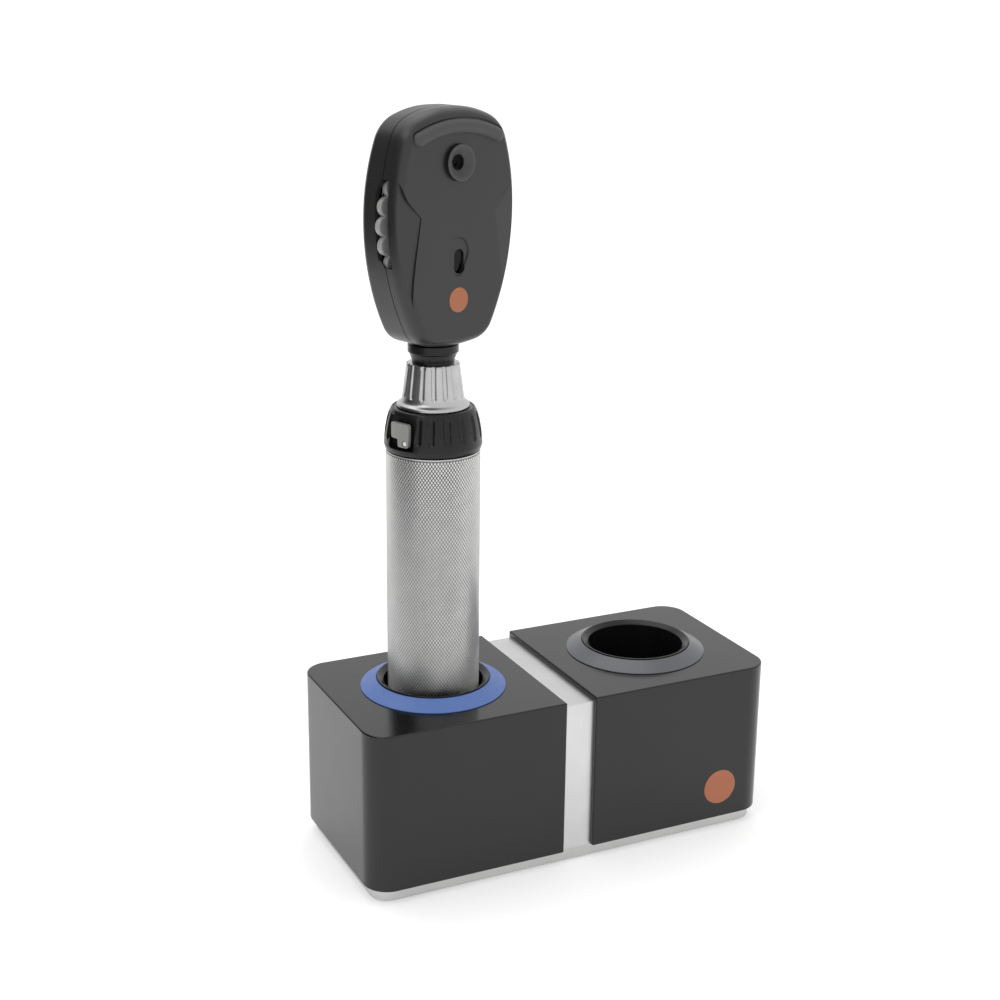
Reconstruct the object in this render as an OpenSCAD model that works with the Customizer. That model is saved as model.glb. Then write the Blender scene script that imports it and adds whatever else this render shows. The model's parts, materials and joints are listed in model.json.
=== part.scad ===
// Hand-held ophthalmoscope standing in its two-well charging station.
// X runs along the charger, Y away from the front, Z up. The origin is under the charger's middle.

/* [Charger] */
// Length of the charging station over both hoods
charger_l = 147; // [140:0.5:156]
// Depth of the charging station
charger_w = 65; // [62:0.5:72]
// Height of the hoods' top faces above the table
hood_top = 58.5; // [55:0.5:64]
// Height of the hoods' lower edges above the table
hood_base = 4.7; // [4.5:0.1:5.5]
// Radius of the hoods' upright outer corners
corner_r = 8.5; // [6:0.5:10]
// Wall thickness of the hoods
hood_wall = 2.5; // [2:0.1:3]
// Width of the metal strip between the hoods
strip_w = 10.7; // [9:0.1:12]
// How far the strip lies behind the hoods' faces
strip_step = 1.8; // [1:0.1:2.5]
// How far the base plate's edge lies inside the hoods
base_inset = 2; // [1:0.1:3]
// How far the rubber feet stand below the base plate
feet_proud = 0.6; // [0.4:0.1:1]

/* [Wells] */
// Distance between the two wells' axes
well_pitch = 77; // [74:0.5:80]
// Radius of a well's bore
well_r = 16.4; // [16:0.1:16.8]
// Height of a well's floor above the table
well_floor = 9; // [8.5:0.1:10]
// Wall thickness of a well cup
cup_wall = 1.6; // [1.2:0.1:1.8]
// Radius of the light ring where it meets the hood
collar_r = 24; // [23:0.1:25]
// Height of the collar above the hood's top face
collar_h = 3.4; // [2.5:0.1:4.5]
// Outer radius of the cup's lip, inside the light ring
lip_r = 18.7; // [18.5:0.1:19.2]

/* [Handle] */
// Radius of the knurled handle tube
tube_r = 15; // [14.5:0.1:15.2]
// Wall thickness of the handle tube
tube_wall = 1.3; // [1:0.1:1.6]
// Height of the handle tube's top end
tube_top = 139.5; // [134:0.1:142]
// Height of the dimmer ring
ring_h = 13.5; // [13:0.1:16]
// Widest radius of the dimmer ring
ring_r = 15.6; // [15.3:0.1:16.5]
// Radius of the dimmer ring's bore
ring_bore = 12.6; // [12:0.1:12.8]
// Number of grip flutes around the dimmer ring
ring_flutes = 18; // [12:1:24]
// Direction of the dimmer ring's release button around the handle
button_angle = 203.5; // [180:0.5:220]
// Number of grip flutes around the head socket
socket_flutes = 16; // [12:1:20]

/* [Head] */
// How far the head is turned about the handle
head_yaw = 18; // [0:1:40]
// Height of the top of the head
head_top = 245.55; // [240:0.05:250]
// Distance of the observer's face from the handle axis
face_depth = 11.6; // [10.5:0.1:13]
// Distance of the patient's side from the handle axis, halfway up the head
back_depth = 7.6; // [7.4:0.1:8]
// Distance of the seam between the shells from the handle axis
seam_depth = 4.5; // [4.4:0.1:5]
// Wall thickness of the head's shells
shell_wall = 1.8; // [1.4:0.1:2]
// Height of the eyepiece's axis
eye_z = 229.4; // [228:0.1:231]
// Height of the lens wheel's axis
wheel_z = 211.5; // [211:0.1:213]
// Radius over the lens wheel's thumb lobes
wheel_r = 25; // [24.2:0.1:25.4]
// Number of stations on the lens wheel
stations = 24; // [20:2:24]

/* [Hidden] */
$fn = 64;

well_x = well_pitch/2;
run = 0.05;

// Base plate, board and feet
base_l = charger_l - 2*base_inset;
base_w = charger_w - 2*base_inset;
base_r = corner_r - base_inset;
tray_l = 124;
tray_w = 53;
tray_z = 2.2;
board_z = 3;
board_t = 1.6;
board_l = 122;
board_w = 50;
board_holes = [52, 20];
foot_at = [56, 22];
foot_r = 6;
foot_pocket = 0.8;
screw_at = [charger_l/2 - 6.2, charger_w/2 - 6.2];
screw_r = 1.5;
boss_r = 3.9;
boss_top = 20;

// Wells and their contacts
cup_r = well_r + cup_wall;
cup_bottom = well_floor - cup_wall;
collar_top = hood_top + collar_h;
hood_hole_r = collar_r - 1.6;
ring_spigot = 3;
flange_z = 51.8;
flange_t = 1.2;
lip_h = 1.2;
centring_top = well_floor + 2.2;
centring_in = 0.7;
pin_r = 1.5;
pin_proud = 0.9;
pin_flange = 2.6;
pin_flange_z = 6.6;
pin_flange_t = 0.4;
contact_in = 8.5;
contact_out = 10.5;
contact_sink = 0.5;
contact_proud = 0.2;
led_count = 8;
led_size = 1.4;
led_h = 0.7;
ring_board_t = 0.8;
inlet_z = 14;
inlet_r = 3.1;

// Handle
handle_bottom = well_floor + 0.3;
tube_in = tube_r - tube_wall;
stud_r = 2.1;
stud_z = well_floor + pin_proud + 0.05;
cap_top = 16;
battery_r = 12.9;
battery_z = [22, 112];
bush_r = ring_bore - 0.1;
ring_z = tube_top + 0.3;
ring_top = ring_z + ring_h;
bush_z = [120, ring_top - 0.1];
bush_bore = 9;
socket_z = ring_top + 0.2;
flange_r = 11.5;
cone_foot = socket_z + 2.6;
cone_top = cone_foot + 11.2;
cone_r = [9.7, 8.3];
plug_r = 5.6;
plug_foot = socket_z + 3.6;
plug_bore = plug_r + 0.05;
collar_plug_r = 6.6;
collar_plug_z = cone_top - 0.8;

// Dimmer ring and its release button
pocket_w = 10.4;
pocket_r = 12.9;
pocket_z = [ring_z + 1.9, ring_top - 1.4];
button_y = [-4.4, 3.3];
button_in = 13.6;
button_out = 14.8;
button_z = ring_z + 5.3;
button_h = 5;
tail_y = [-1.1, 2.9];
tail_h = 2.5;
led_r = 0.75;
led_y = 1.6;
led_z = button_z - 1.25;
edge_flute = 24.5;

// Head outline: [radius, angle turned] for each arc from the top round to the bottom corner
head_arcs = [[87, 1.5], [36, 19.6], [11.2, 50], [66, 19.7], [77.5, 26.8], [9.2, 52.9]];
arc_steps = [1, 6, 9, 6, 7, 8];
closing_steps = 2;
round_steps = 4;
front_round = [2.9, 5];
back_round = [8.2, 4.8];
back_level = 210;
back_slope = 0.05;
back_wall = 1.4;
seam_gap = 0.15;
neck_top = 173.3;
neck_r = 8;
neck_bore = 6.05;
connector_pin_r = 1.2;
spigot_top = 176.95;
// Screw posts of the head: [across, height, depth of the screw head's seat]
posts = [[9, 238.9, 3.2], [-9, 238.9, 3.2], [12.9, 181.4, 5.2], [-12.9, 181.4, 5.2]];
post_r = 2.4;
post_tip = 8.8;
shell_screw_r = 1;
shell_screw_head = [1.9, 1.4];

// Optics
wheel_v = [2, 4.1];
lens_ring_r = eye_z - wheel_z;
lens_r = 1.75;
lens_v = [2.4, 3.6];
lobe_r = 3;
axle_r = 1.5;
slot_z = [199.4, 225.3];
slot_gap = 0.3;
slot_front = 3;
slot_end_v = 3.2;
slot_middle = 8;
plate_v = [0.2, 1.4];
beam_v = -3.2;
mirror_size = [8.2, 5, 0.7];
mirror_z = 226.2;
cheek_u = [4.1, 5.3];
cheek_v = -5.2;
cheek_z = [223.4, 228.8];
dimple_r = 0.4;
aperture_v = -0.7;
aperture_r = 10.1;
aperture_z = [181.4, 184.4];
aperture_axle_r = 1;
axle_top = 186.6;
lamp_r = 1.7;
aperture_circle = aperture_v - beam_v;
aperture_count = 6;
holder_z = [spigot_top, 181];
filter_z = [190, 191.2];
filter_step = 5;
filter_knob_u = -filter_step/2;
filter_hole_r = 1.4;
slide_v = [-6.2, 1];
window_z = 228.5;
window_r = 4.4;
window_spigot_r = 5.2;
window_flange_r = 6.6;
window_seat = 0.45;
window_proud = 1.3;
brow_arc_r = 38;
brow_z = 239.95;
brow_bar_r = 2.25;
brow_sink = 0.9;
brow_half_angle = 24;
eye_ring_r = 5.5;
eye_ring_proud = 1.4;
pupil_r = 2.3;
eye_bore_r = 4.2;
keyhole_top = [202.9, 4.1];
keyhole_foot = [197.6, 1.9];
keyhole_depth = 1;

// ---------------------------------------------------------------- shared shapes

// Moves to the axis of the well that holds the instrument
module at_handle() {
    translate([-well_x, 0, 0]) children();
}

// Head frame: x across the head, y towards the patient, z up
module in_head() {
    at_handle() rotate([0, 0, head_yaw]) children();
}

// A disc or ring in the head along the line of sight, between two depths in front of the handle axis
module sight_tube(u, z, r, v_low, v_high, bore = 0) {
    translate([u, -v_high, z]) rotate([-90, 0, 0]) difference() {
        cylinder(r = r, h = v_high - v_low);
        if (bore > 0)
            translate([0, 0, -1]) cylinder(r = bore, h = v_high - v_low + 2);
    }
}

// A block in the head between two depths in front of the handle axis
module head_block(u0, u1, v_low, v_high, z0, z1) {
    translate([u0, -v_high, z0]) cube([u1 - u0, v_high - v_low, z1 - z0]);
}

module tube(r_out, r_in, z0, z1) {
    translate([0, 0, z0]) difference() {
        cylinder(r = r_out, h = z1 - z0);
        translate([0, 0, -1]) cylinder(r = r_in, h = z1 - z0 + 2);
    }
}

module rod(r, z0, z1) {
    translate([0, 0, z0]) cylinder(r = r, h = z1 - z0);
}

// Rounded rectangle of true arcs
module round_rect(l, w, r) {
    square([l, w - 2*r], center = true);
    square([l - 2*r, w], center = true);
    for (x = [-1, 1], y = [-1, 1])
        translate([x*(l/2 - r), y*(w/2 - r)]) circle(r = r);
}

// Places children at the four corners (x, y)
module four(at) {
    for (x = [-1, 1], y = [-1, 1])
        translate([x*at[0], y*at[1], 0]) children();
}

// Closed-end coil swept along a helix
module coil(r, wire, turns, z0, z1) {
    per_turn = 14;
    sides = 6;
    rings = turns*per_turn;
    pts = [
        for (i = [0 : rings], j = [0 : sides - 1])
            let (a = 360*i/per_turn, b = 360*j/sides, h = z0 + (z1 - z0)*i/rings)
            [(r + wire*cos(b))*cos(a), (r + wire*cos(b))*sin(a), h + wire*sin(b)]
    ];
    skin = [
        for (i = [0 : rings - 1], j = [0 : sides - 1], half = [0, 1])
            let (n = (j + 1) % sides, a = i*sides + j, b = i*sides + n)
            half == 0 ? [a, b, a + sides] : [b, b + sides, a + sides]
    ];
    ends = [
        [for (j = [sides - 1 : -1 : 0]) j],
        [for (j = [0 : sides - 1]) rings*sides + j]
    ];
    polyhedron(points = pts, faces = concat(skin, ends), convexity = 6);
}

// ---------------------------------------------------------------- head outline

function turned(n) = n == 0 ? 0 : head_arcs[n - 1][1] + turned(n - 1);

// Where arc n starts, with the whole outline moved in by an inset
function arc_start(n, inset) =
    n == 0 ? [0, head_top - inset]
    : let (a = turned(n - 1), b = turned(n), r = head_arcs[n - 1][0] - inset)
      arc_start(n - 1, inset) + r*[sin(b) - sin(a), cos(b) - cos(a)];

function arc_points(start, r, a, b, steps) =
    [for (i = [0 : steps - 1]) let (t = a + (b - a)*i/steps) start + r*[sin(t) - sin(a), cos(t) - cos(a)]];

// One half of the outline, from the top centre to the bottom centre
function half_outline(inset) =
    let (n = len(head_arcs), a = turned(n), start = arc_start(n, inset), r = start[0]/sin(180 - a))
    concat(
        [for (k = [0 : n - 1], p = arc_points(arc_start(k, inset), head_arcs[k][0] - inset,
            turned(k), turned(k + 1), arc_steps[k])) p],
        arc_points(start, r, a, 180, closing_steps),
        [start + r*[-sin(a), -1 - cos(a)]]);

function outline(inset) =
    let (h = half_outline(inset), n = len(h))
    concat(h, [for (i = [n - 2 : -1 : 1]) [-h[i][0], h[i][1]]]);

// Distance of the patient's side from the handle axis at a height; the back leans forward towards the top
function back_at(z) = back_depth - back_slope*(z - back_level);

// Solid lofted through [inset, depth, slope] rings, deepest first
module head_loft(rings) {
    loops = [for (k = rings) [for (p = outline(k[0])) [p[0], -k[1] - k[2]*(p[1] - back_level), p[1]]]];
    n = len(loops[0]);
    m = len(loops);
    skin = [
        for (k = [0 : m - 2], i = [0 : n - 1], half = [0, 1])
            let (j = (i + 1) % n, a = k*n)
            half == 0 ? [a + i, a + j, a + n + i] : [a + j, a + n + j, a + n + i]
    ];
    ends = [
        [for (i = [n - 1 : -1 : 0]) i],
        [for (i = [0 : n - 1]) (m - 1)*n + i]
    ];
    polyhedron(points = [for (l = loops, p = l) p], faces = concat(skin, ends), convexity = 4);
}

// Front half: rounds over from the seam to the observer's face
function front_rings() = concat(
    [[0, seam_depth + seam_gap, 0]],
    [for (i = [0 : round_steps])
        let (a = 90*i/round_steps)
        [front_round[0]*(1 - cos(a)), face_depth - front_round[1]*(1 - sin(a)), 0]]);

// Rear half, down to a depth below its surface: rounds over from the patient's side to the seam
function back_rings(inset, drop) = concat(
    [for (i = [round_steps : -1 : 0])
        let (a = 90*i/round_steps, r = back_round - [drop, drop])
        [inset + r[0]*(1 - cos(a)), -(back_depth - drop - r[1]*(1 - sin(a))), back_slope]],
    [[inset, seam_depth - seam_gap, 0]]);

// ---------------------------------------------------------------- charger

module base_plate() {
    color("silver") difference() {
        translate([0, 0, feet_proud]) linear_extrude(hood_base - feet_proud)
            round_rect(base_l, base_w, base_r);
        translate([0, 0, tray_z]) linear_extrude(hood_base) difference() {
            square([tray_l, tray_w], center = true);
            four(board_holes) circle(r = 3.2);
        }
        four(foot_at) rod(foot_r, 0, feet_proud + foot_pocket);
        four(screw_at) {
            rod(2.7, 0, feet_proud + 1.8);
            rod(screw_r, 0, hood_base + 1);
        }
        translate([0, 0, board_z]) linear_extrude(hood_base)
            square([tray_l, tray_w], center = true);
        four(board_holes) rod(0.9, tray_z - 1, board_z + 1);
    }
}

module rubber_feet() {
    color("dimgray") four(foot_at) rod(foot_r, 0, feet_proud + foot_pocket);
}

module base_screws() {
    color("gainsboro") four(screw_at) difference() {
        union() {
            rod(2.6, feet_proud + 0.3, feet_proud + 1.8);
            rod(screw_r, feet_proud + 1.8, 14);
        }
        for (a = [0, 90])
            rotate([0, 0, a]) translate([-1.6, -0.3, 0]) cube([3.2, 0.6, feet_proud + 1]);
    }
}

// Footprint of the right-hand hood, drawn in by an inset
module hood_plan(inset) {
    x0 = strip_w/2 + inset;
    x1 = charger_l/2 - inset;
    half_w = charger_w/2 - inset;
    r = corner_r - inset;
    translate([x0, -half_w]) square([x1 - x0 - r, 2*half_w]);
    translate([x0, -half_w + r]) square([x1 - x0, 2*(half_w - r)]);
    for (y = [-1, 1])
        translate([x1 - r, y*(half_w - r)]) circle(r = r);
}

// Right-hand hood; the left one is its mirror image
module hood() {
    difference() {
        union() {
            difference() {
                translate([0, 0, hood_base]) linear_extrude(hood_top - hood_base) hood_plan(0);
                translate([0, 0, hood_base - 1]) linear_extrude(hood_top - hood_base + 1 - hood_wall)
                    hood_plan(hood_wall);
            }
            for (y = [-1, 1])
                translate([screw_at[0], y*screw_at[1], 0]) rod(boss_r, hood_base, boss_top);
        }
        for (y = [-1, 1])
            translate([screw_at[0], y*screw_at[1], 0]) rod(screw_r, hood_base - 1, 15);
        translate([well_x, 0, 0]) rod(hood_hole_r, hood_top - 6, hood_top + 1);
        translate([strip_w/2 - 1, -8, hood_base + 3]) cube([hood_wall + 2, 16, 6]);
    }
}

module left_hood() {
    color([0.24, 0.24, 0.24]) mirror([1, 0, 0]) hood();
}

module right_hood() {
    color([0.24, 0.24, 0.24]) hood();
}

module centre_strip() {
    wall = 1.5;
    depth = charger_w - 2*strip_step;
    top = hood_top - strip_step;
    color([0.83, 0.83, 0.84]) difference() {
        translate([-strip_w/2, -depth/2, hood_base]) cube([strip_w, depth, top - hood_base]);
        translate([-strip_w/2 - 1, -depth/2 + wall, hood_base - 1])
            cube([strip_w + 2, depth - 2*wall, top - hood_base + 1 - wall]);
        translate([0, depth/2 - wall - 1, inlet_z]) rotate([-90, 0, 0]) cylinder(r = inlet_r, h = wall + 2);
    }
}

module power_inlet() {
    back = charger_w/2 - strip_step - 1.5;
    length = 11;
    color([0.12, 0.12, 0.12]) translate([0, back, inlet_z]) rotate([90, 0, 0]) difference() {
        union() {
            translate([-4.5, -4.5, 0]) cube([9, 9, length]);
            translate([0, 0, -1]) cylinder(r = inlet_r - run, h = 2);
        }
        translate([0, 0, -2]) cylinder(r = 2.75, h = length);
    }
    color("gold") translate([0, back, inlet_z]) rotate([90, 0, 0]) cylinder(r = 1, h = length - 2);
}

// Truncated cone of translucent plastic around a well
module light_ring() {
    rotate_extrude($fn = 96) polygon([
        [lip_r, hood_top - ring_spigot], [hood_hole_r - run, hood_top - ring_spigot],
        [hood_hole_r - run, hood_top], [collar_r, hood_top], [collar_r, hood_top + 0.25],
        [lip_r, collar_top - 0.2]]);
}

module left_light_ring() {
    color([0.38, 0.5, 0.75]) at_handle() light_ring();
}

module right_light_ring() {
    color([0.32, 0.32, 0.34]) translate([well_x, 0, 0]) light_ring();
}

// Well lined with a cup whose foot narrows, so that the handle stands centred on its contacts
module well_cup() {
    difference() {
        rotate_extrude($fn = 96) polygon([
            [0, cup_bottom], [cup_r, cup_bottom], [cup_r, flange_z], [hood_hole_r - 0.2, flange_z],
            [hood_hole_r - 0.2, flange_z + flange_t], [lip_r - run, flange_z + flange_t],
            [lip_r - run, collar_top], [lip_r - 0.6, collar_top], [well_r, collar_top - lip_h],
            [well_r, centring_top], [well_r - centring_in, well_floor], [0, well_floor]]);
        rod(pin_r + run, cup_bottom - 1, well_floor + 1);
        tube(contact_out, contact_in, well_floor - contact_sink, well_floor + 1);
    }
}

module left_well_cup() {
    color([0.1, 0.1, 0.1]) at_handle() well_cup();
}

module right_well_cup() {
    color([0.1, 0.1, 0.1]) translate([well_x, 0, 0]) well_cup();
}

module contact_ring() {
    color("gold") tube(contact_out, contact_in, well_floor - contact_sink, well_floor + contact_proud);
}

module contact_pin() {
    color("gold") union() {
        rod(pin_r, pin_flange_z, well_floor + pin_proud);
        rod(pin_flange, pin_flange_z, pin_flange_z + pin_flange_t);
    }
}

module pin_spring() {
    wire = 0.2;
    color("gainsboro") coil(1.8, wire, 4, board_z + board_t + wire, pin_flange_z - wire);
}

module charger_board() {
    color("darkgreen") difference() {
        translate([-board_l/2, -board_w/2, board_z]) cube([board_l, board_w, board_t]);
        four(board_holes) rod(1.6, board_z - 1, board_z + board_t + 1);
    }
}

// Charging chips, inductors and a connector on the board, clear of the cups above
module board_parts() {
    top = board_z + board_t;
    color([0.15, 0.15, 0.16]) {
        for (x = [-14, 14]) {
            translate([x - 3, -9, top]) cube([6, 6, 1.2]);
            translate([x, 12, top]) cylinder(r = 3, h = 2.2);
        }
        translate([-3, -22, top]) cube([6, 4, 1.6]);
    }
}

module ring_led_board() {
    z = flange_z + flange_t;
    tube(hood_hole_r - 0.3, lip_r + 0.2, z, z + ring_board_t);
}

module ring_led_boards() {
    color("darkgreen") for (s = [-1, 1])
        translate([s*well_x, 0, 0]) ring_led_board();
}

module ring_leds() {
    r = (hood_hole_r + lip_r)/2;
    z = flange_z + flange_t + ring_board_t;
    color("white") for (s = [-1, 1], i = [0 : led_count - 1])
        translate([s*well_x, 0, 0]) rotate([0, 0, 360*i/led_count])
            translate([r - led_size/2, -led_size/2, z]) cube([led_size, led_size, led_h]);
}

// ---------------------------------------------------------------- handle

module handle_tube() {
    color("silver") at_handle() tube(tube_r, tube_in, handle_bottom + 1, tube_top);
}

module bottom_cap() {
    color([0.12, 0.12, 0.12]) at_handle() difference() {
        rotate_extrude($fn = 96) polygon([
            [0, handle_bottom], [tube_r - 0.8, handle_bottom], [tube_r, handle_bottom + 0.8],
            [tube_r, handle_bottom + 1], [tube_in, handle_bottom + 1], [tube_in, cap_top], [0, cap_top]]);
        rod(stud_r, handle_bottom - 1, cap_top + 1);
        tube(contact_out - 0.2, contact_in + 0.2, handle_bottom - 1, handle_bottom + 0.7);
    }
}

module bottom_stud() {
    color("gold") at_handle() rod(stud_r, stud_z, cap_top);
}

module bottom_ring() {
    color("gold") at_handle()
        tube(contact_out - 0.2, contact_in + 0.2, well_floor + contact_proud + run, handle_bottom + 0.7);
}

module battery() {
    color("steelblue") at_handle() {
        rod(battery_r, battery_z[0], battery_z[1]);
        rod(4, battery_z[1], battery_z[1] + 1.5);
    }
}

module battery_spring() {
    wire = 0.5;
    color("gainsboro") at_handle() coil(6, wire, 3, cap_top + wire, battery_z[0] - wire);
}

module top_bush() {
    color([0.13, 0.13, 0.13]) at_handle() difference() {
        union() {
            rod(tube_in, bush_z[0], tube_top);
            rod(bush_r, tube_top, bush_z[1]);
        }
        rod(bush_bore, bush_z[0] + 12, bush_z[1] + 1);
        rod(pin_r, bush_z[0] - 1, bush_z[1]);
    }
}

module control_board() {
    color("darkgreen") at_handle() difference() {
        rod(tube_in - 0.3, 115, 116.6);
        rod(pin_r, 114, 118);
    }
}

// Fluted cone that the head plugs into, with its polished flange and threaded stub
module head_socket() {
    color([0.8, 0.8, 0.81]) at_handle() difference() {
        rotate_extrude($fn = 96) polygon([
            [0, bush_z[0] + 20], [bush_bore - run, bush_z[0] + 20], [bush_bore - run, socket_z],
            [flange_r, socket_z],
            [flange_r, socket_z + 0.5], [flange_r - 0.6, socket_z + 1.1], [cone_r[0] + 0.4, cone_foot],
            [cone_r[0], cone_foot + 0.4], [cone_r[1] + 0.1, cone_top - 0.5], [cone_r[1] - 0.4, cone_top],
            [0, cone_top]]);
        rod(plug_bore, plug_foot - 0.5, cone_top + 1);
        rod(collar_plug_r + run, collar_plug_z - 0.4, cone_top + 1);
        rod(pin_r, bush_z[0], plug_foot);
        for (i = [0 : socket_flutes - 1])
            rotate([0, 0, 360*i/socket_flutes]) socket_flute();
    }
}

// One round-ended groove that leans with the cone
module socket_flute() {
    lean = atan((cone_r[0] - cone_r[1])/(cone_top - cone_foot));
    depth = 0.45;
    r = 0.75;
    translate([cone_r[0] + r - depth, 0, cone_foot + 1.2]) rotate([0, -lean, 0]) {
        cylinder(r = r, h = cone_top - cone_foot + 1, $fn = 24);
        sphere(r = r, $fn = 24);
    }
}

module socket_pin() {
    color("gold") at_handle() rod(pin_r, 113.5, plug_foot - 0.6);
}

// ---------------------------------------------------------------- dimmer ring

module ring_frame() {
    at_handle() rotate([0, 0, button_angle]) children();
}

module dimmer_ring() {
    w = ring_r - 15;
    color([0.16, 0.16, 0.16]) at_handle() difference() {
        rotate_extrude($fn = 96) polygon([
            [ring_bore, ring_z], [tube_r - 0.1, ring_z], [tube_r + 0.2, ring_z + 0.3],
            [ring_r - 0.1, ring_z + 1.3], [ring_r, ring_z + 1.8], [ring_r - 0.1*w - 0.05, ring_z + 3.3],
            [ring_r - 0.4, ring_z + 6.3], [ring_r - 0.95, ring_z + 9.3], [ring_r - 1.6, ring_z + 11.7],
            [ring_r - 2.1, ring_top - 0.8], [ring_r - 2.8, ring_top], [ring_bore, ring_top]]);
        rotate([0, 0, button_angle]) {
            translate([pocket_r, -pocket_w/2, pocket_z[0]]) cube([5, pocket_w, pocket_z[1] - pocket_z[0]]);
            mirror([1, 0, 0]) translate([ring_bore - 1, -3.2, ring_z + 3]) cube([1.6, 6.4, 5]);
        }
        for (a = concat([edge_flute, -edge_flute], [for (i = [2 : ring_flutes - 2]) 360*i/ring_flutes]))
            rotate([0, 0, button_angle + a]) ring_flute();
    }
}

// One upright thumb groove that follows the ring's taper
module ring_flute() {
    lean = 7.5;
    depth = 0.5;
    r = 1.4;
    length = 5.8;
    translate([ring_r + r - depth - 0.25, 0, ring_z + 5.3]) rotate([0, -lean, 0]) {
        cylinder(r = r, h = length, $fn = 24);
        sphere(r = r, $fn = 24);
        translate([0, 0, length]) sphere(r = r, $fn = 24);
    }
}

module ring_contact() {
    color("gold") ring_frame() mirror([1, 0, 0]) intersection() {
        tube(ring_bore + 0.55, ring_bore + run, ring_z + 3.1, ring_z + 7.9);
        translate([ring_bore - 2, -3.1, ring_z]) cube([4, 6.2, ring_h]);
    }
}

module status_led() {
    color("honeydew") ring_frame() translate([pocket_r, led_y, led_z])
        rotate([0, 90, 0]) cylinder(r = led_r, h = button_out - pocket_r, $fn = 32);
}

// The status light shines through a round hole in the button's tail
module release_button() {
    color([0.55, 0.55, 0.54]) ring_frame() difference() {
        intersection() {
            union() {
                translate([button_in, button_y[0], button_z]) cube([3, button_y[1] - button_y[0], button_h]);
                translate([button_in, tail_y[0], button_z - tail_h])
                    cube([3, tail_y[1] - tail_y[0], tail_h + 1]);
            }
            rod(button_out + 0.3, ring_z, ring_top);
        }
        translate([pocket_r, led_y, led_z]) rotate([0, 90, 0]) cylinder(r = led_r + 0.2, h = 4, $fn = 32);
    }
}

module button_spring() {
    color("gainsboro") ring_frame() translate([pocket_r, 0, button_z + button_h/2]) rotate([0, 90, 0])
        tube(1.6, 1, 0, button_in - pocket_r);
}

// ---------------------------------------------------------------- head shells

// Teardrop recess around the scale window
module keyhole(grow, v_low, v_high) {
    top = keyhole_top[1] + grow;
    foot = keyhole_foot[1] + grow;
    translate([0, -v_low, 0]) rotate([90, 0, 0]) linear_extrude(v_high - v_low) {
        translate([0, keyhole_top[0]]) circle(r = top);
        translate([0, keyhole_foot[0]]) circle(r = foot);
        polygon([
            [-top, keyhole_top[0]], [-foot, keyhole_foot[0]],
            [foot, keyhole_foot[0]], [top, keyhole_top[0]]]);
    }
}

module front_shell() {
    inside = face_depth - shell_wall;
    slope = 1.2;
    color([0.2, 0.2, 0.2]) in_head() difference() {
        union() {
            difference() {
                head_loft(front_rings());
                head_loft([[shell_wall, seam_depth - 1, 0], [shell_wall, seam_depth + 2, 0],
                    [shell_wall + slope, inside, 0]]);
            }
            for (p = posts)
                sight_tube(p[0], p[1], post_r, seam_depth + seam_gap, inside + 0.5);
            sight_tube(0, wheel_z, 3, seam_depth + 0.3, inside + 0.5);
        }
        for (p = posts)
            sight_tube(p[0], p[1], shell_screw_r, seam_depth - 1, post_tip);
        sight_tube(0, wheel_z, axle_r, seam_depth - 1, inside);
        sight_tube(0, eye_z, eye_bore_r, inside - 1, face_depth + 1);
        keyhole(0, face_depth - keyhole_depth, face_depth + 1);
        keyhole(-1.2, inside - 1, face_depth);
        for (s = [0, 1])
            mirror([s, 0, 0])
                head_block(15, 30, seam_depth, seam_depth + slot_front, slot_z[0], slot_z[1]);
        neck_hole();
    }
}

// Hole in the head's bottom for the connector
module neck_hole() {
    rod(neck_bore + run, neck_top - 3, spigot_top + 0.1);
}

module rear_shell() {
    outside = -back_depth - 3;
    window_back = back_at(window_z);
    color([0.2, 0.2, 0.2]) in_head() difference() {
        union() {
            difference() {
                head_loft(back_rings(0, 0));
                head_loft(concat(back_rings(shell_wall, back_wall), [[shell_wall, seam_depth + 1, 0]]));
            }
            intersection() {
                head_loft(back_rings(0.2, 0.2));
                union() for (p = posts)
                    sight_tube(p[0], p[1], post_r, outside, seam_depth - seam_gap);
            }
        }
        for (p = posts) {
            sight_tube(p[0], p[1], shell_screw_head[0] + 0.1, outside, -p[2]);
            sight_tube(p[0], p[1], shell_screw_r + run, outside, seam_depth + 1);
        }
        sight_tube(0, wheel_z, wheel_r + slot_gap, wheel_v[0] - slot_gap, seam_depth + 1);
        for (s = [0, 1])
            mirror([s, 0, 0]) {
                head_block(15, 30, slot_end_v, seam_depth + 1, slot_z[0], slot_z[1]);
                head_block(15, 30, wheel_v[0] - slot_gap, seam_depth + 1,
                    wheel_z - slot_middle, wheel_z + slot_middle);
            }
        sight_tube(0, window_z, window_flange_r + run, outside, window_seat - window_back);
        sight_tube(0, window_z, window_spigot_r + run, outside, back_wall + 1 - window_back);
        head_block(-7.8, 7.8, outside, -5, aperture_z[0] - 0.5, aperture_z[1] + 0.5);
        head_block(-4.2, 4.2, outside, -6, filter_z[0] - 0.6, filter_z[1] + 0.6);
        neck_hole();
    }
}

module seam_gasket() {
    color([0.05, 0.05, 0.05]) in_head() difference() {
        head_loft([[0.35, seam_depth - seam_gap, 0], [0.35, seam_depth + seam_gap, 0]]);
        head_loft([[1.4, seam_depth - 1, 0], [1.4, seam_depth + 1, 0]]);
        for (s = [0, 1])
            mirror([s, 0, 0])
                head_block(15, 30, seam_depth - 1, seam_depth + 1, slot_z[0], slot_z[1]);
        neck_hole();
    }
}

module shell_screws() {
    head = shell_screw_head;
    color("gainsboro") in_head() for (p = posts) difference() {
        union() {
            sight_tube(p[0], p[1], head[0], -p[2] - head[1], -p[2]);
            sight_tube(p[0], p[1], shell_screw_r, -p[2], post_tip);
        }
        for (a = [0, 90])
            translate([p[0], p[2] + head[1]/2, p[1]]) rotate([0, a, 0])
                translate([-1.2, 0, -0.25]) cube([2.4, 2, 0.5]);
    }
}

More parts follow.
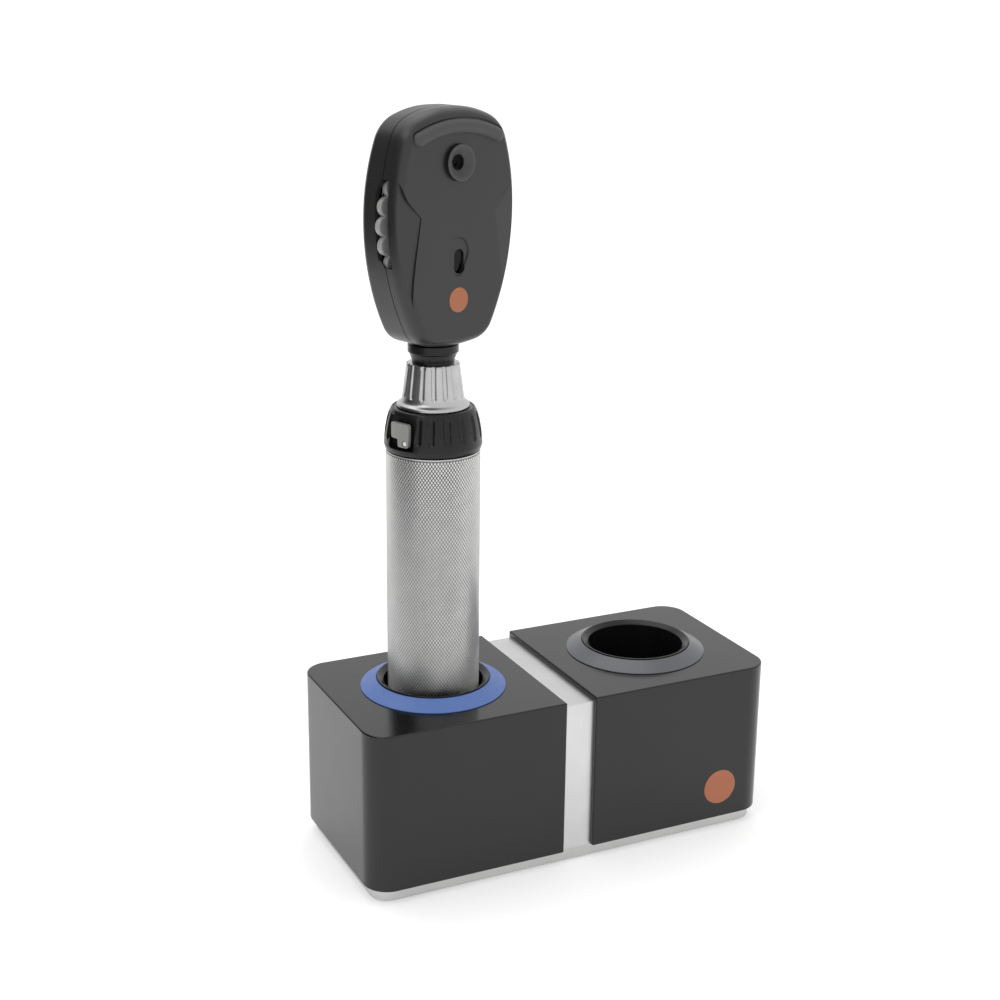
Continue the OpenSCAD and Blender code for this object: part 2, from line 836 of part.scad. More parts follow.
module brow_rest() {
    centre_z = brow_z - brow_arc_r;
    color([0.26, 0.26, 0.26]) in_head() intersection() {
        translate([0, -(face_depth - brow_sink), centre_z]) rotate([90, 0, 0]) {
            rotate([0, 0, 90 - brow_half_angle]) rotate_extrude(angle = 2*brow_half_angle)
                translate([brow_arc_r, 0]) circle(r = brow_bar_r, $fn = 32);
            for (s = [-1, 1])
                rotate([0, 0, 90 + s*brow_half_angle]) translate([brow_arc_r, 0, 0])
                    sphere(r = brow_bar_r, $fn = 32);
        }
        head_block(-30, 30, face_depth, face_depth + 5, 220, 250);
    }
}

module eyepiece_ring() {
    front = face_depth + eye_ring_proud;
    inside = face_depth - shell_wall;
    top = front - inside;
    color([0.22, 0.22, 0.22]) in_head() translate([0, -inside, eye_z]) rotate([90, 0, 0])
        rotate_extrude() polygon([
            [pupil_r + 0.5, 0], [eye_bore_r, 0], [eye_bore_r, shell_wall], [eye_ring_r, shell_wall],
            [eye_ring_r, top - 0.4], [eye_ring_r - 0.4, top], [eye_ring_r - 0.9, top], [pupil_r, top - 0.9],
            [pupil_r, top - 1.3]]);
}

module scale_window() {
    color([0.5, 0.5, 0.55, 0.6]) in_head()
        keyhole(-1.2, face_depth - shell_wall, face_depth - keyhole_depth - 0.1);
}

// ---------------------------------------------------------------- head internals

module neck_connector() {
    color([0.12, 0.12, 0.12]) in_head() difference() {
        rotate_extrude() polygon([
            [0, plug_foot], [plug_r, plug_foot], [plug_r, collar_plug_z],
            [collar_plug_r, collar_plug_z], [collar_plug_r, cone_top + 0.6],
            [neck_r - 0.5, cone_top + 3], [neck_r, cone_top + 3.5], [neck_r, neck_top - 0.3],
            [neck_r - 0.3, neck_top], [neck_bore, neck_top], [neck_bore, spigot_top], [0, spigot_top]]);
        rod(connector_pin_r, plug_foot - 1, spigot_top + 1);
    }
}

module connector_pin() {
    color("gold") in_head() rod(connector_pin_r, plug_foot - 0.5, spigot_top);
}

module lamp_holder() {
    holder_r = 4.6;
    holder_v = -1.2;
    color([0.75, 0.75, 0.76]) in_head() difference() {
        translate([0, -holder_v, 0]) rod(holder_r, holder_z[0], holder_z[1]);
        translate([0, -beam_v, 0]) {
            rod(lamp_r, holder_z[0] - 1, holder_z[0] + 2.8);
            rod(1.1, holder_z[0], holder_z[1] + 1);
        }
        translate([0, -aperture_v, 0]) rod(aperture_axle_r, holder_z[1] - 1.2, holder_z[1] + 1);
    }
}

module lamp_led() {
    color("lemonchiffon") in_head() translate([0, -beam_v, 0]) rod(lamp_r, holder_z[0], holder_z[0] + 1.4);
}

module condenser_lens() {
    color([0.8, 0.9, 1, 0.5]) in_head() translate([0, -beam_v, 0])
        rod(lamp_r, holder_z[0] + 1.5, holder_z[0] + 2.8);
}

// Plate between the shells that carries the lens wheel, the mirror, the filter slide and the aperture axle
module chassis() {
    foot = 188;
    bracket_v = [-3.2, 1];
    color([0.6, 0.6, 0.62]) in_head() difference() {
        union() {
            intersection() {
                head_loft([[3, plate_v[0], 0], [3, plate_v[1], 0]]);
                head_block(-25, 25, plate_v[0], plate_v[1], foot, 250);
            }
            head_block(-11, 11, plate_v[0], plate_v[1], aperture_z[1] + 0.6, foot);
            head_block(-3, 3, bracket_v[0], bracket_v[1], aperture_z[1] + 0.6, axle_top);
            for (s = [0, 1])
                mirror([s, 0, 0])
                    head_block(cheek_u[0], cheek_u[1], cheek_v, plate_v[1], cheek_z[0], cheek_z[1]);
        }
        head_block(-cheek_u[0], cheek_u[0], plate_v[0] - 1, plate_v[1] + 1, cheek_z[0] - 0.8, eye_z + 4.2);
        head_block(-8.6, 8.6, plate_v[0] - 1, plate_v[1] + 1, filter_z[0] - 0.3, filter_z[1] + 0.3);
        for (p = posts)
            sight_tube(p[0], p[1], post_r + run, -5, 5);
        sight_tube(0, wheel_z, axle_r, -5, 5);
        translate([0, -aperture_v, 0]) rod(aperture_axle_r, 180, 190);
    }
}

module beam_mirror() {
    color([0.85, 0.9, 0.95]) in_head() translate([0, -beam_v, mirror_z]) rotate([45, 0, 0])
        cube(mirror_size, center = true);
}

module rear_window_ring() {
    back = back_at(window_z);
    color([0.1, 0.1, 0.1]) in_head() union() {
        sight_tube(0, window_z, window_flange_r, -back - window_proud, window_seat - back, window_r);
        sight_tube(0, window_z, window_spigot_r, window_seat - back, back_wall - 0.1 - back, window_r);
    }
}

module rear_window_glass() {
    back = back_at(window_z);
    color([0.8, 0.9, 1, 0.4]) in_head() sight_tube(0, window_z, window_r, -back - 0.6, -back + 0.6);
}

module wheel_axle() {
    color("gainsboro") in_head() union() {
        sight_tube(0, wheel_z, axle_r, plate_v[0], face_depth - shell_wall);
        sight_tube(0, wheel_z, 2.6, plate_v[0] - 1, plate_v[0]);
    }
}

module aperture_axle() {
    color("gainsboro") in_head() translate([0, -aperture_v, 0])
        rod(aperture_axle_r, holder_z[1] - 1.2, axle_top);
}

// Leaf spring on the chassis whose dimple clicks the lens wheel into each station
module detent_spring() {
    leaf_t = 0.2;
    color("gainsboro") in_head() union() {
        head_block(-13.5, -7.5, plate_v[1], plate_v[1] + leaf_t, wheel_z - 1.2, wheel_z + 1.2);
        intersection() {
            translate([-12.5, -(plate_v[1] + leaf_t/2), wheel_z]) sphere(r = dimple_r, $fn = 24);
            head_block(-14, -7, plate_v[1], plate_v[1] + 1, wheel_z - 1, wheel_z + 1);
        }
    }
}

module lens_wheel() {
    pitch = 360/stations;
    color([0.68, 0.68, 0.67]) in_head() translate([0, -wheel_v[0], wheel_z]) rotate([90, 0, 0])
        linear_extrude(wheel_v[1] - wheel_v[0]) difference() {
            union() {
                circle(r = wheel_r - 2.2, $fn = 96);
                for (i = [0 : stations - 1])
                    rotate([0, 0, i*pitch]) translate([wheel_r - lobe_r, 0]) circle(r = lobe_r, $fn = 32);
            }
            circle(r = axle_r + run);
            for (i = [0 : stations - 1])
                rotate([0, 0, i*pitch + 90]) translate([lens_ring_r, 0]) circle(r = lens_r, $fn = 32);
        }
}

// One station stays open, for viewing with no lens
module wheel_lenses() {
    color([0.8, 0.9, 1, 0.5]) in_head() for (i = [1 : stations - 1])
        let (a = 90 + 360*i/stations)
            sight_tube(lens_ring_r*cos(a), wheel_z + lens_ring_r*sin(a), lens_r, lens_v[0], lens_v[1]);
}

module aperture_wheel() {
    grips = 36;
    color([0.14, 0.14, 0.14]) in_head() translate([0, -aperture_v, aperture_z[0]])
        linear_extrude(aperture_z[1] - aperture_z[0]) difference() {
            circle(r = aperture_r, $fn = 96);
            circle(r = aperture_axle_r + run);
            for (i = [0 : grips - 1])
                rotate([0, 0, 360*i/grips]) translate([aperture_r + 0.25, 0]) circle(r = 0.5, $fn = 16);
            for (i = [0 : aperture_count - 1])
                rotate([0, 0, 90 + 360*i/aperture_count]) translate([aperture_circle, 0])
                    circle(r = 1.1 - 0.14*i, $fn = 32);
        }
}

module filter_slide() {
    back = back_at(filter_z[0]);
    u = filter_knob_u;
    color([0.14, 0.14, 0.14]) in_head() difference() {
        union() {
            head_block(-filter_step - 2.5, 2.5, slide_v[0], slide_v[1], filter_z[0], filter_z[1]);
            head_block(u - 1.2, u + 1.2, -back - 0.4, slide_v[0] + 0.1, filter_z[0], filter_z[1]);
            head_block(u - 2, u + 2, -back - 1.9, -back - 0.3, filter_z[0] - 1.4, filter_z[1] + 1.4);
        }
        for (x = [0, -filter_step])
            translate([x, -beam_v, 0]) rod(filter_hole_r, filter_z[0] - 1, filter_z[1] + 1);
    }
}

module filter_glass() {
    color("limegreen") in_head() translate([-filter_step, -beam_v, 0])
        rod(filter_hole_r, filter_z[0], filter_z[1]);
}

// ---------------------------------------------------------------- assembly

base_plate();
rubber_feet();
base_screws();
left_hood();
right_hood();
centre_strip();
left_light_ring();
right_light_ring();
left_well_cup();
right_well_cup();
at_handle() contact_ring();  // left_contact_ring
translate([well_x, 0, 0]) contact_ring();  // right_contact_ring
at_handle() contact_pin();  // left_contact_pin
translate([well_x, 0, 0]) contact_pin();  // right_contact_pin
at_handle() pin_spring();  // left_pin_spring
translate([well_x, 0, 0]) pin_spring();  // right_pin_spring
charger_board();
board_parts();
ring_led_boards();
ring_leds();
power_inlet();
handle_tube();
bottom_cap();
bottom_stud();
bottom_ring();
battery();
battery_spring();
top_bush();
control_board();
head_socket();
socket_pin();
dimmer_ring();
ring_contact();
status_led();
release_button();
button_spring();
front_shell();
rear_shell();
seam_gasket();
chassis();
brow_rest();
eyepiece_ring();
scale_window();
neck_connector();
connector_pin();
lamp_led();
lamp_holder();
condenser_lens();
beam_mirror();
rear_window_ring();
rear_window_glass();
wheel_axle();
aperture_axle();
detent_spring();
shell_screws();
lens_wheel();
wheel_lenses();
aperture_wheel();
filter_slide();
filter_glass();
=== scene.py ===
import bpy
import bmesh
import json
from math import radians, sin, cos, tan, atan2, pi, sqrt, hypot
from mathutils import Matrix, Vector


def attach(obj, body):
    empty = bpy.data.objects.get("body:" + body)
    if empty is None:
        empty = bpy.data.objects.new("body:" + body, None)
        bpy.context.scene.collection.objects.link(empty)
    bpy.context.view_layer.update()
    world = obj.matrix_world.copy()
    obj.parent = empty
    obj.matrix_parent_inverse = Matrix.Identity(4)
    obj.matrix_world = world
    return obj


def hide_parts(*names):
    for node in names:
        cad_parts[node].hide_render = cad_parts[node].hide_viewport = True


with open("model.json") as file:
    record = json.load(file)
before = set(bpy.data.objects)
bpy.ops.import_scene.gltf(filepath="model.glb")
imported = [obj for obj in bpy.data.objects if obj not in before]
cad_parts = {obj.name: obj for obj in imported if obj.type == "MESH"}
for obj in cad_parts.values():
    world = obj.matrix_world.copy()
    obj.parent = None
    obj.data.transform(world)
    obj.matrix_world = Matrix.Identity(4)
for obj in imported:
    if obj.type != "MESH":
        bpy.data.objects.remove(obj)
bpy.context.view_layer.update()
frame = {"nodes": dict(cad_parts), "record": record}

# Camera
CAMERA_AT = Vector((-0.24470, -0.46961, 0.28077))
CAMERA_RIGHT = Vector((0.89960, -0.43656, 0.01153))
CAMERA_UP = Vector((0.11902, 0.27050, 0.95533))
LENS = 60.43

# All sizes below are in millimetres, as in the object's CAD model

# Charger
WELL_X = 38.5
HALF_L = 73.5
HALF_W = 32.5
HOOD_TOP = 58.5
HOOD_BASE = 4.7
HOOD_R = 8.5
HOOD_WALL = 2.5
HOOD_X0 = 5.35
HOLE_R = 22.4
BOSS_R = (1.5, 3.9)
BOSS_TOP = 20
BOSS_INSET = 6.2
COLLAR_TOP = 61.9
COLLAR_R = 24
LIP_R = 18.7
HOOD_INLAY = (6.2, 55, 16.2)
INLAY_PROUD = 0.12

# Handle, dimmer ring, release button and head socket
TUBE_R = 15
TUBE_IN = 13.7
TUBE_Z = (10.3, 139.5)
KNURLS = 92
KNURL_FOOT = 14.5
KNURL_DEPTH = 0.24
RING_Z = 139.8
RING_H = 13.5
RING_R = 15.6
RING_BORE = 12.6
RING_FLUTES = (24.5, -24.5, *range(40, 321, 20))
RING_FLUTE_SIZE = (1.15, 0.62)
BUTTON_TURN = radians(203.5)
BUTTON_Y = (-4.4, 3.3)
BUTTON_Z = (142.6, 145.1, 150.1)
BUTTON_REACH = (13.65, 15.1)
LED_AT = (1.6, 143.85)
LED_HOLE_R = 0.95
SOCKET_Z = 153.5
SOCKET_R = 11.5
CONE_FOOT = 156.1
CONE_TOP = 167.3
CONE_R = (9.7, 8.3)
FLUTES = 16
FLUTE_SIZE = (0.78, 0.5)

# Head: outline, shells and posts
YAW = radians(18)
HEAD_TOP = 245.55
HEAD_ARCS = ((87, 1.5), (36, 19.6), (11.2, 50), (66, 19.7), (77.5, 26.8), (9.2, 52.9))
ARC_STEPS = (4, 14, 14, 24, 36, 12)
CLOSING_STEPS = 8
FACE = 11.6
FRONT_EDGE = (2.9, 5)
BACK = 7.6
BACK_EDGE = (8.2, 4.8)
BACK_LEVEL = 210
BACK_SLOPE = 0.05
SEAM = 4.5
SEAM_GAP = 0.15
SHELL_WALL = 1.8
POSTS = ((9, 238.9, 3.2), (-9, 238.9, 3.2), (12.9, 181.4, 5.2), (-12.9, 181.4, 5.2))
POST_R = 2.4
POST_TIP = 8.8
SCREW_R = 1
SCREW_HEAD_R = 2.0
NECK_HOLE = (6.1, 170.3, 177.05)

# Head: what its face and back carry
BROW_R = 2.25
BROW_ARC = 38
BROW_TOP = 239.95
BROW_HALF = radians(24)
WING_TOP = ((23.6, 227.4), (22.3, 224.0), (20.3, 219.7), (16.9, 216.1), (14.9, 214.2))
WING_SIDE = ((14.9, 214.2), (15.9, 208), (17.2, 200), (18.1, 192), (17.6, 187), (16.2, 181))
EYE_Z = 229.4
EYE_BORE = 4.2
EYE_R = 5.5
EYE_PROUD = 1.4
PUPIL_R = 2.3
KEYHOLE = ((202.9, 4.1), (197.6, 1.9))
SCALE_OVAL = (0.5, 199.9, 1.95, 1.8)
HEAD_INLAY = (3.8, 188.3)
WINDOW_Z = 228.5
APERTURE_SLOT = (7.8, 180.9, 184.9, 0.8)
FILTER_SLOT = (4.2, 189.4, 191.8, 0.5)

# Lens wheel and its slots
WHEEL_Z = 211.5
WHEEL_R = 25
WHEEL_V = (2.0, 4.1)
STATIONS = 24
LOBE_R = 3
LENS_R = 1.75
AXLE_R = 1.5
SLOT_U = (15, 30)
SLOT_Z = (199.4, 225.3)
SLOT_FRONT = 3
SLOT_GAP = 0.3


# ------------------------------------------------------------------ frames

def at_handle(x, y, z):
    return (x - WELL_X, y, z)


def at_spare(x, y, z):
    return (x + WELL_X, y, z)


def head(u, v, z):
    """Across the head, towards the observer, and up."""
    return (u*cos(YAW) + v*sin(YAW) - WELL_X, u*sin(YAW) - v*cos(YAW), z)


def along_sight(zc, uc=0.0):
    """Places a turned profile on the line of sight: its height becomes the distance towards the observer."""
    return lambda x, y, h: head(uc + x, h, zc + y)


def back_at(z):
    return BACK - BACK_SLOPE*(z - BACK_LEVEL)


# ------------------------------------------------------------------ mesh tools

def loft(loops, wrap=False):
    """Skin through loops of equal length; wrap joins last to first, otherwise both ends are capped."""
    n = len(loops[0])
    m = len(loops)
    verts = [p for loop in loops for p in loop]
    faces = []
    for k in range(m if wrap else m - 1):
        a = k*n
        b = ((k + 1) % m)*n
        for i in range(n):
            j = (i + 1) % n
            faces.append((a + i, a + j, b + j, b + i))
    if not wrap:
        faces.append(tuple(range(n - 1, -1, -1)))
        faces.append(tuple((m - 1)*n + i for i in range(n)))
    return verts, faces


def rounded(points, steps=4):
    """Closed 2-D polygon whose points may carry a fillet radius as their third number."""
    out = []
    n = len(points)
    for i, p in enumerate(points):
        here = Vector(p[:2])
        if len(p) < 3:
            out.append((here.x, here.y))
            continue
        a = Vector(points[i - 1][:2]) - here
        b = Vector(points[(i + 1) % n][:2]) - here
        half = a.angle(b)/2
        cut = min(p[2]/tan(half), 0.49*a.length, 0.49*b.length)
        radius = cut*tan(half)
        centre = here + (a.normalized() + b.normalized()).normalized()*radius/sin(half)
        s = here + a.normalized()*cut - centre
        e = here + b.normalized()*cut - centre
        turn = atan2(s.x*e.y - s.y*e.x, s.dot(e))
        for k in range(steps + 1):
            t = turn*k/steps
            out.append((centre.x + s.x*cos(t) - s.y*sin(t), centre.y + s.x*sin(t) + s.y*cos(t)))
    return out


def rectangle(half_width, low, high, r, steps=4):
    """Upright rectangle with rounded corners, about the middle line."""
    corners = ((-half_width, low), (half_width, low), (half_width, high), (-half_width, high))
    return rounded([(*p, r) for p in corners], steps)


def dense(points, step, keep):
    """Adds points along the edges of a closed polygon, where both ends satisfy keep."""
    out = []
    n = len(points)
    for i in range(n):
        a, b = points[i], points[(i + 1) % n]
        out.append(a)
        if keep(a) and keep(b):
            count = int(hypot(b[0] - a[0], b[1] - a[1])/step)
            for k in range(1, count + 1):
                t = k/(count + 1)
                out.append((a[0] + (b[0] - a[0])*t, a[1] + (b[1] - a[1])*t))
    return out


def turned(profile, place, seg=128, relief=None):
    """Closed profile of (radius, height) turned about an axis, with an optional change of radius."""
    loops = []
    for r, h in profile:
        loop = []
        for i in range(seg):
            t = 2*pi*i/seg
            q = relief(t, r, h) if relief else r
            loop.append(place(q*cos(t), q*sin(t), h))
        loops.append(loop)
    return loft(loops, wrap=True)


def disc(r, h0, h1, place, seg=64, edge=0.0):
    """Solid of revolution without a bore, as a capped loft."""
    rings = [(r, h0), (r, h1)]
    if edge:
        rings = [(r - edge, h0), (r - 0.3*edge, h0 + 0.3*edge), (r, h0 + edge),
                 (r, h1 - edge), (r - 0.3*edge, h1 - 0.3*edge), (r - edge, h1)]
    return loft([[place(q*cos(2*pi*i/seg), q*sin(2*pi*i/seg), h) for i in range(seg)] for q, h in rings])


def block(low, high, place):
    (x0, y0, z0), (x1, y1, z1) = low, high
    ring = ((x0, y0), (x1, y0), (x1, y1), (x0, y1))
    return loft([[place(x, y, z) for x, y in ring] for z in (z0, z1)])


def joined(*meshes):
    verts, faces = [], []
    for v, f in meshes:
        base = len(verts)
        verts += v
        faces += [tuple(base + i for i in face) for face in f]
    return verts, faces


def shape(name, mesh):
    """Object in millimetres, with its faces turned outwards."""
    data = bpy.data.meshes.new(name)
    data.from_pydata([tuple(p) for p in mesh[0]], [], mesh[1])
    bm = bmesh.new()
    bm.from_mesh(data)
    bmesh.ops.recalc_face_normals(bm, faces=bm.faces)
    bm.to_mesh(data)
    bm.free()
    obj = bpy.data.objects.new(name, data)
    bpy.context.scene.collection.objects.link(obj)
    return obj


def boolean(obj, mesh, operation="DIFFERENCE"):
    """Changes obj with a mesh, or with an object already made, which is used up."""
    tool = mesh if isinstance(mesh, bpy.types.Object) else shape("tool", mesh)
    mod = obj.modifiers.new("cut", "BOOLEAN")
    mod.operation = operation
    mod.solver = "EXACT"
    mod.object = tool
    graph = bpy.context.evaluated_depsgraph_get()
    result = bpy.data.meshes.new_from_object(obj.evaluated_get(graph))
    obj.modifiers.remove(mod)
    old = obj.data
    obj.data = result
    result.name = old.name
    bpy.data.meshes.remove(old)
    bpy.data.objects.remove(tool)


def smooth(obj, angle, weighted):
    for p in obj.data.polygons:
        p.use_smooth = True
    obj.data.set_sharp_from_angle(angle=radians(angle))
    if weighted:
        mod = obj.modifiers.new("normals", "WEIGHTED_NORMAL")
        mod.keep_sharp = True


def finish_piece(obj, body, slot, nodes=(), material=None, angle=32, weighted=True):
    """Brings a piece to metres, sets it on its body and gives it its finish."""
    obj.data.transform(Matrix.Scale(0.001, 4))
    smooth(obj, angle, weighted)
    obj.data.materials.clear()
    obj.data.materials.append(material or FINISH[slot])
    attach(obj, body)
    if nodes:
        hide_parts(*nodes)


# ------------------------------------------------------------------ materials

# Scale of the slow wander in every finish
PATCH = 45


class Nodes:
    """Short names for building a node tree."""

    def __init__(self, name):
        self.mat = bpy.data.materials.new(name)
        self.mat.use_nodes = True
        self.tree = self.mat.node_tree
        self.bsdf = self.tree.nodes["Principled BSDF"]
        self.coord = self.tree.nodes.new("ShaderNodeTexCoord").outputs["Object"]

    def new(self, kind, **inputs):
        node = self.tree.nodes.new("ShaderNode" + kind)
        for key, value in inputs.items():
            self.feed(node.inputs[key.replace("_", " ")], value)
        return node

    def feed(self, socket, value):
        if isinstance(value, bpy.types.NodeSocket):
            self.tree.links.new(value, socket)
        else:
            socket.default_value = value

    def stretch(self, scale):
        node = self.new("Mapping", Vector=self.coord, Scale=scale)
        return node.outputs["Vector"]

    def noise(self, scale, detail=3.0, vector=None):
        node = self.new("TexNoise", Vector=vector or self.coord, Scale=scale, Detail=detail)
        return node.outputs["Fac"]

    def span(self, value, low, high, from_low=0.3, from_high=0.7):
        node = self.new("MapRange", Value=value, From_Min=from_low, From_Max=from_high,
                        To_Min=low, To_Max=high)
        return node.outputs["Result"]

    def math(self, operation, a, b=0.0):
        node = self.tree.nodes.new("ShaderNodeMath")
        node.operation = operation
        self.feed(node.inputs[0], a)
        self.feed(node.inputs[1], b)
        return node.outputs[0]

    def mix(self, factor, a, b):
        node = self.tree.nodes.new("ShaderNodeMix")
        node.data_type = "RGBA"
        self.feed(node.inputs[0], factor)
        self.feed(node.inputs[6], a if isinstance(a, bpy.types.NodeSocket) else (*a, 1))
        self.feed(node.inputs[7], b if isinstance(b, bpy.types.NodeSocket) else (*b, 1))
        return node.outputs[2]

    def bump(self, height, strength, distance):
        node = self.new("Bump", Height=height, Strength=strength, Distance=distance)
        self.feed(self.bsdf.inputs["Normal"], node.outputs["Normal"])

    def radius(self, x, y):
        """Distance in millimetres from an upright axis."""
        split = self.new("SeparateXYZ", Vector=self.coord)
        dx = self.math("SUBTRACT", split.outputs[0], x*0.001)
        dy = self.math("SUBTRACT", split.outputs[1], y*0.001)
        total = self.math("ADD", self.math("MULTIPLY", dx, dx), self.math("MULTIPLY", dy, dy))
        return self.math("MULTIPLY", self.math("SQRT", total), 1000.0)


def tone(base, k):
    return tuple(min(1.0, c*k) for c in base)


def finish(name, base, rough, metallic=0.0, vary=0.08, rough_vary=0.04, grain=2500, relief=0.12,
           depth=0.00003, stretch=None, **sockets):
    """Base colour and roughness that wander a little over the surface, with a fine grain in the relief."""
    n = Nodes(name)
    at = n.stretch(stretch) if stretch else n.coord
    wander = n.noise(PATCH, 4.0)
    fine = n.noise(grain, 2.0, at)
    both = n.math("ADD", n.math("MULTIPLY", wander, 0.65), n.math("MULTIPLY", fine, 0.35))
    n.feed(n.bsdf.inputs["Base Color"], n.mix(n.span(both, 0, 1), tone(base, 1 - vary), tone(base, 1 + vary)))
    sheen = n.noise(PATCH*2.3, 3.0)
    n.feed(n.bsdf.inputs["Roughness"], n.span(sheen, rough - rough_vary, rough + rough_vary))
    n.bsdf.inputs["Metallic"].default_value = metallic
    for key, value in sockets.items():
        n.bsdf.inputs[key.replace("_", " ")].default_value = value
    if relief:
        n.bump(fine, relief, depth)
    return n


def knurled_finish():
    """Anodised aluminium, darker in the grooves than on the flat tops of the diamonds: the groove darkening is
    painted shade.
    """
    n = Nodes("knurled_metal")
    r = n.radius(-WELL_X, 0)
    # Mask from 0 in the grooves to 1 on the diamond tops; it sets where the painted groove shade lies
    crown = n.span(r, 0, 1, TUBE_R - 0.2, TUBE_R - 0.03)
    patch = n.noise(220, 3.0)
    top = n.mix(n.span(patch, 0, 1), (0.56, 0.56, 0.555), (0.64, 0.64, 0.63))
    # The dark grey below the crowns is painted shade in the knurl's grooves, not a colour of the metal
    n.feed(n.bsdf.inputs["Base Color"], n.mix(crown, (0.20, 0.20, 0.205), top))
    n.feed(n.bsdf.inputs["Roughness"], n.span(patch, 0.30, 0.38))
    n.bsdf.inputs["Metallic"].default_value = 1.0
    n.bump(n.noise(5000, 2.0), 0.1, 0.00002)
    return n


def turned_finish(name, base, rough):
    """Bright turned metal with fine tool lines around the axis."""
    n = Nodes(name)
    lines = n.noise(1.0, 2.0, n.stretch((60, 60, 9000)))
    patch = n.noise(120, 3.0)
    n.feed(n.bsdf.inputs["Base Color"], n.mix(n.span(patch, 0, 1), tone(base, 0.93), tone(base, 1.06)))
    n.feed(n.bsdf.inputs["Roughness"], n.span(lines, rough - 0.04, rough + 0.06))
    n.bsdf.inputs["Metallic"].default_value = 1.0
    n.bump(lines, 0.12, 0.00002)
    return n


def glow_finish():
    """Milky plastic with a faint glow and a slightly cloudy tone."""
    n = Nodes("ring_lit")
    cloud = n.noise(90, 3.0)
    colour = n.mix(n.span(cloud, 0, 1), (0.062, 0.125, 0.345), (0.072, 0.14, 0.37))
    n.feed(n.bsdf.inputs["Base Color"], colour)
    n.feed(n.bsdf.inputs["Emission Color"], colour)
    n.bsdf.inputs["Emission Strength"].default_value = 0.1
    n.feed(n.bsdf.inputs["Roughness"], n.span(n.noise(400, 2.0), 0.42, 0.52))
    n.bump(n.noise(3000, 2.0), 0.06, 0.00002)
    return n


def board_finish():
    """Green lacquer over copper tracks on a grid."""
    n = Nodes("circuit_board")
    cells = n.tree.nodes.new("ShaderNodeTexBrick")
    n.feed(cells.inputs["Vector"], n.coord)
    cells.inputs["Scale"].default_value = 90
    cells.inputs["Mortar Size"].default_value = 0.012
    cells.inputs["Color1"].default_value = (0.012, 0.10, 0.045, 1)
    cells.inputs["Color2"].default_value = (0.016, 0.13, 0.055, 1)
    cells.inputs["Mortar"].default_value = (0.05, 0.23, 0.09, 1)
    n.feed(n.bsdf.inputs["Base Color"], cells.outputs["Color"])
    n.feed(n.bsdf.inputs["Roughness"], n.span(n.noise(200, 2.0), 0.25, 0.4))
    return n


def glass_finish(name, tint):
    """Clear or tinted glass under a faint uneven film."""
    n = Nodes(name)
    film = n.noise(150, 3.0)
    n.feed(n.bsdf.inputs["Base Color"], n.mix(n.span(film, 0, 1), tone(tint, 0.94), tint))
    n.feed(n.bsdf.inputs["Roughness"], n.span(film, 0.03, 0.06))
    n.bsdf.inputs["Transmission Weight"].default_value = 0.92
    n.bsdf.inputs["IOR"].default_value = 1.5
    return n


MADE = {
    "base_metal": finish("base_metal", (0.53, 0.53, 0.525), 0.34, 1.0, stretch=(0.08, 1, 1), grain=3500),
    "strip_metal": finish("strip_metal", (0.60, 0.60, 0.605), 0.36, 1.0, grain=4200, relief=0.2),
    "knurled_metal": knurled_finish(),
    "polished_metal": turned_finish("polished_metal", (0.5, 0.5, 0.5), 0.33),
    "hood_paint": finish("hood_paint", (0.0035, 0.0035, 0.0035), 0.17, vary=0.3, rough_vary=0.03, grain=2600,
                         relief=0.05, depth=0.00002, IOR=1.48),
    "ring_lit": glow_finish(),
    "ring_unlit": finish("ring_unlit", (0.085, 0.088, 0.097), 0.3, vary=0.06, relief=0.04),
    "black_plastic": finish("black_plastic", (0.005, 0.005, 0.0052), 0.3, vary=0.2, rough_vary=0.05,
                            grain=3000, relief=0.16, IOR=1.38),
    "head_plastic": finish("head_plastic", (0.014, 0.014, 0.0143), 0.36, vary=0.08, rough_vary=0.04,
                           grain=3200, relief=0.22, depth=0.00004),
    "soft_rubber": finish("soft_rubber", (0.047, 0.047, 0.048), 0.6, vary=0.1, rough_vary=0.06,
                          grain=2600, relief=0.2),
    "foot_rubber": finish("foot_rubber", (0.02, 0.02, 0.02), 0.75, vary=0.15, grain=2000, relief=0.25),
    "grey_plastic": finish("grey_plastic", (0.25, 0.25, 0.245), 0.36, vary=0.06, grain=2600),
    "button_plastic": finish("button_plastic", (0.20, 0.20, 0.195), 0.35, vary=0.06, grain=2600),
    "steel": finish("steel", (0.62, 0.62, 0.62), 0.33, 1.0, grain=4000),
    "gold_contact": finish("gold_contact", (0.83, 0.60, 0.26), 0.22, 1.0, vary=0.06, grain=3500),
    "circuit_board": board_finish(),
    "chip_black": finish("chip_black", (0.02, 0.02, 0.022), 0.5, vary=0.15),
    "led_white": finish("led_white", (0.62, 0.63, 0.58), 0.2, vary=0.05),
    "cell_wrap": finish("cell_wrap", (0.03, 0.09, 0.26), 0.28, vary=0.08),
    "clear_glass": glass_finish("clear_glass", (0.92, 0.95, 0.96)),
    "mirror_glass": finish("mirror_glass", (0.9, 0.91, 0.92), 0.05, 1.0, vary=0.02, rough_vary=0.02,
                           relief=0),
    "green_glass": glass_finish("green_glass", (0.25, 0.75, 0.35)),
    "window_plastic": finish("window_plastic", (0.003, 0.003, 0.0035), 0.2, vary=0.3, rough_vary=0.04,
                             relief=0.03, IOR=1.25),
}
FINISH = {slot: n.mat for slot, n in MADE.items()}
INLAY = finish("inlay_copper", (0.34, 0.115, 0.055), 0.34, 0.35, vary=0.08, grain=3000, relief=0.08).mat
# Black for painted shade on the eyepiece's outer wall and pupil
SHADE = finish("shadow_black", (0.004, 0.004, 0.004), 0.5, vary=0.2, relief=0.05).mat


# ------------------------------------------------------------------ carried-over CAD nodes

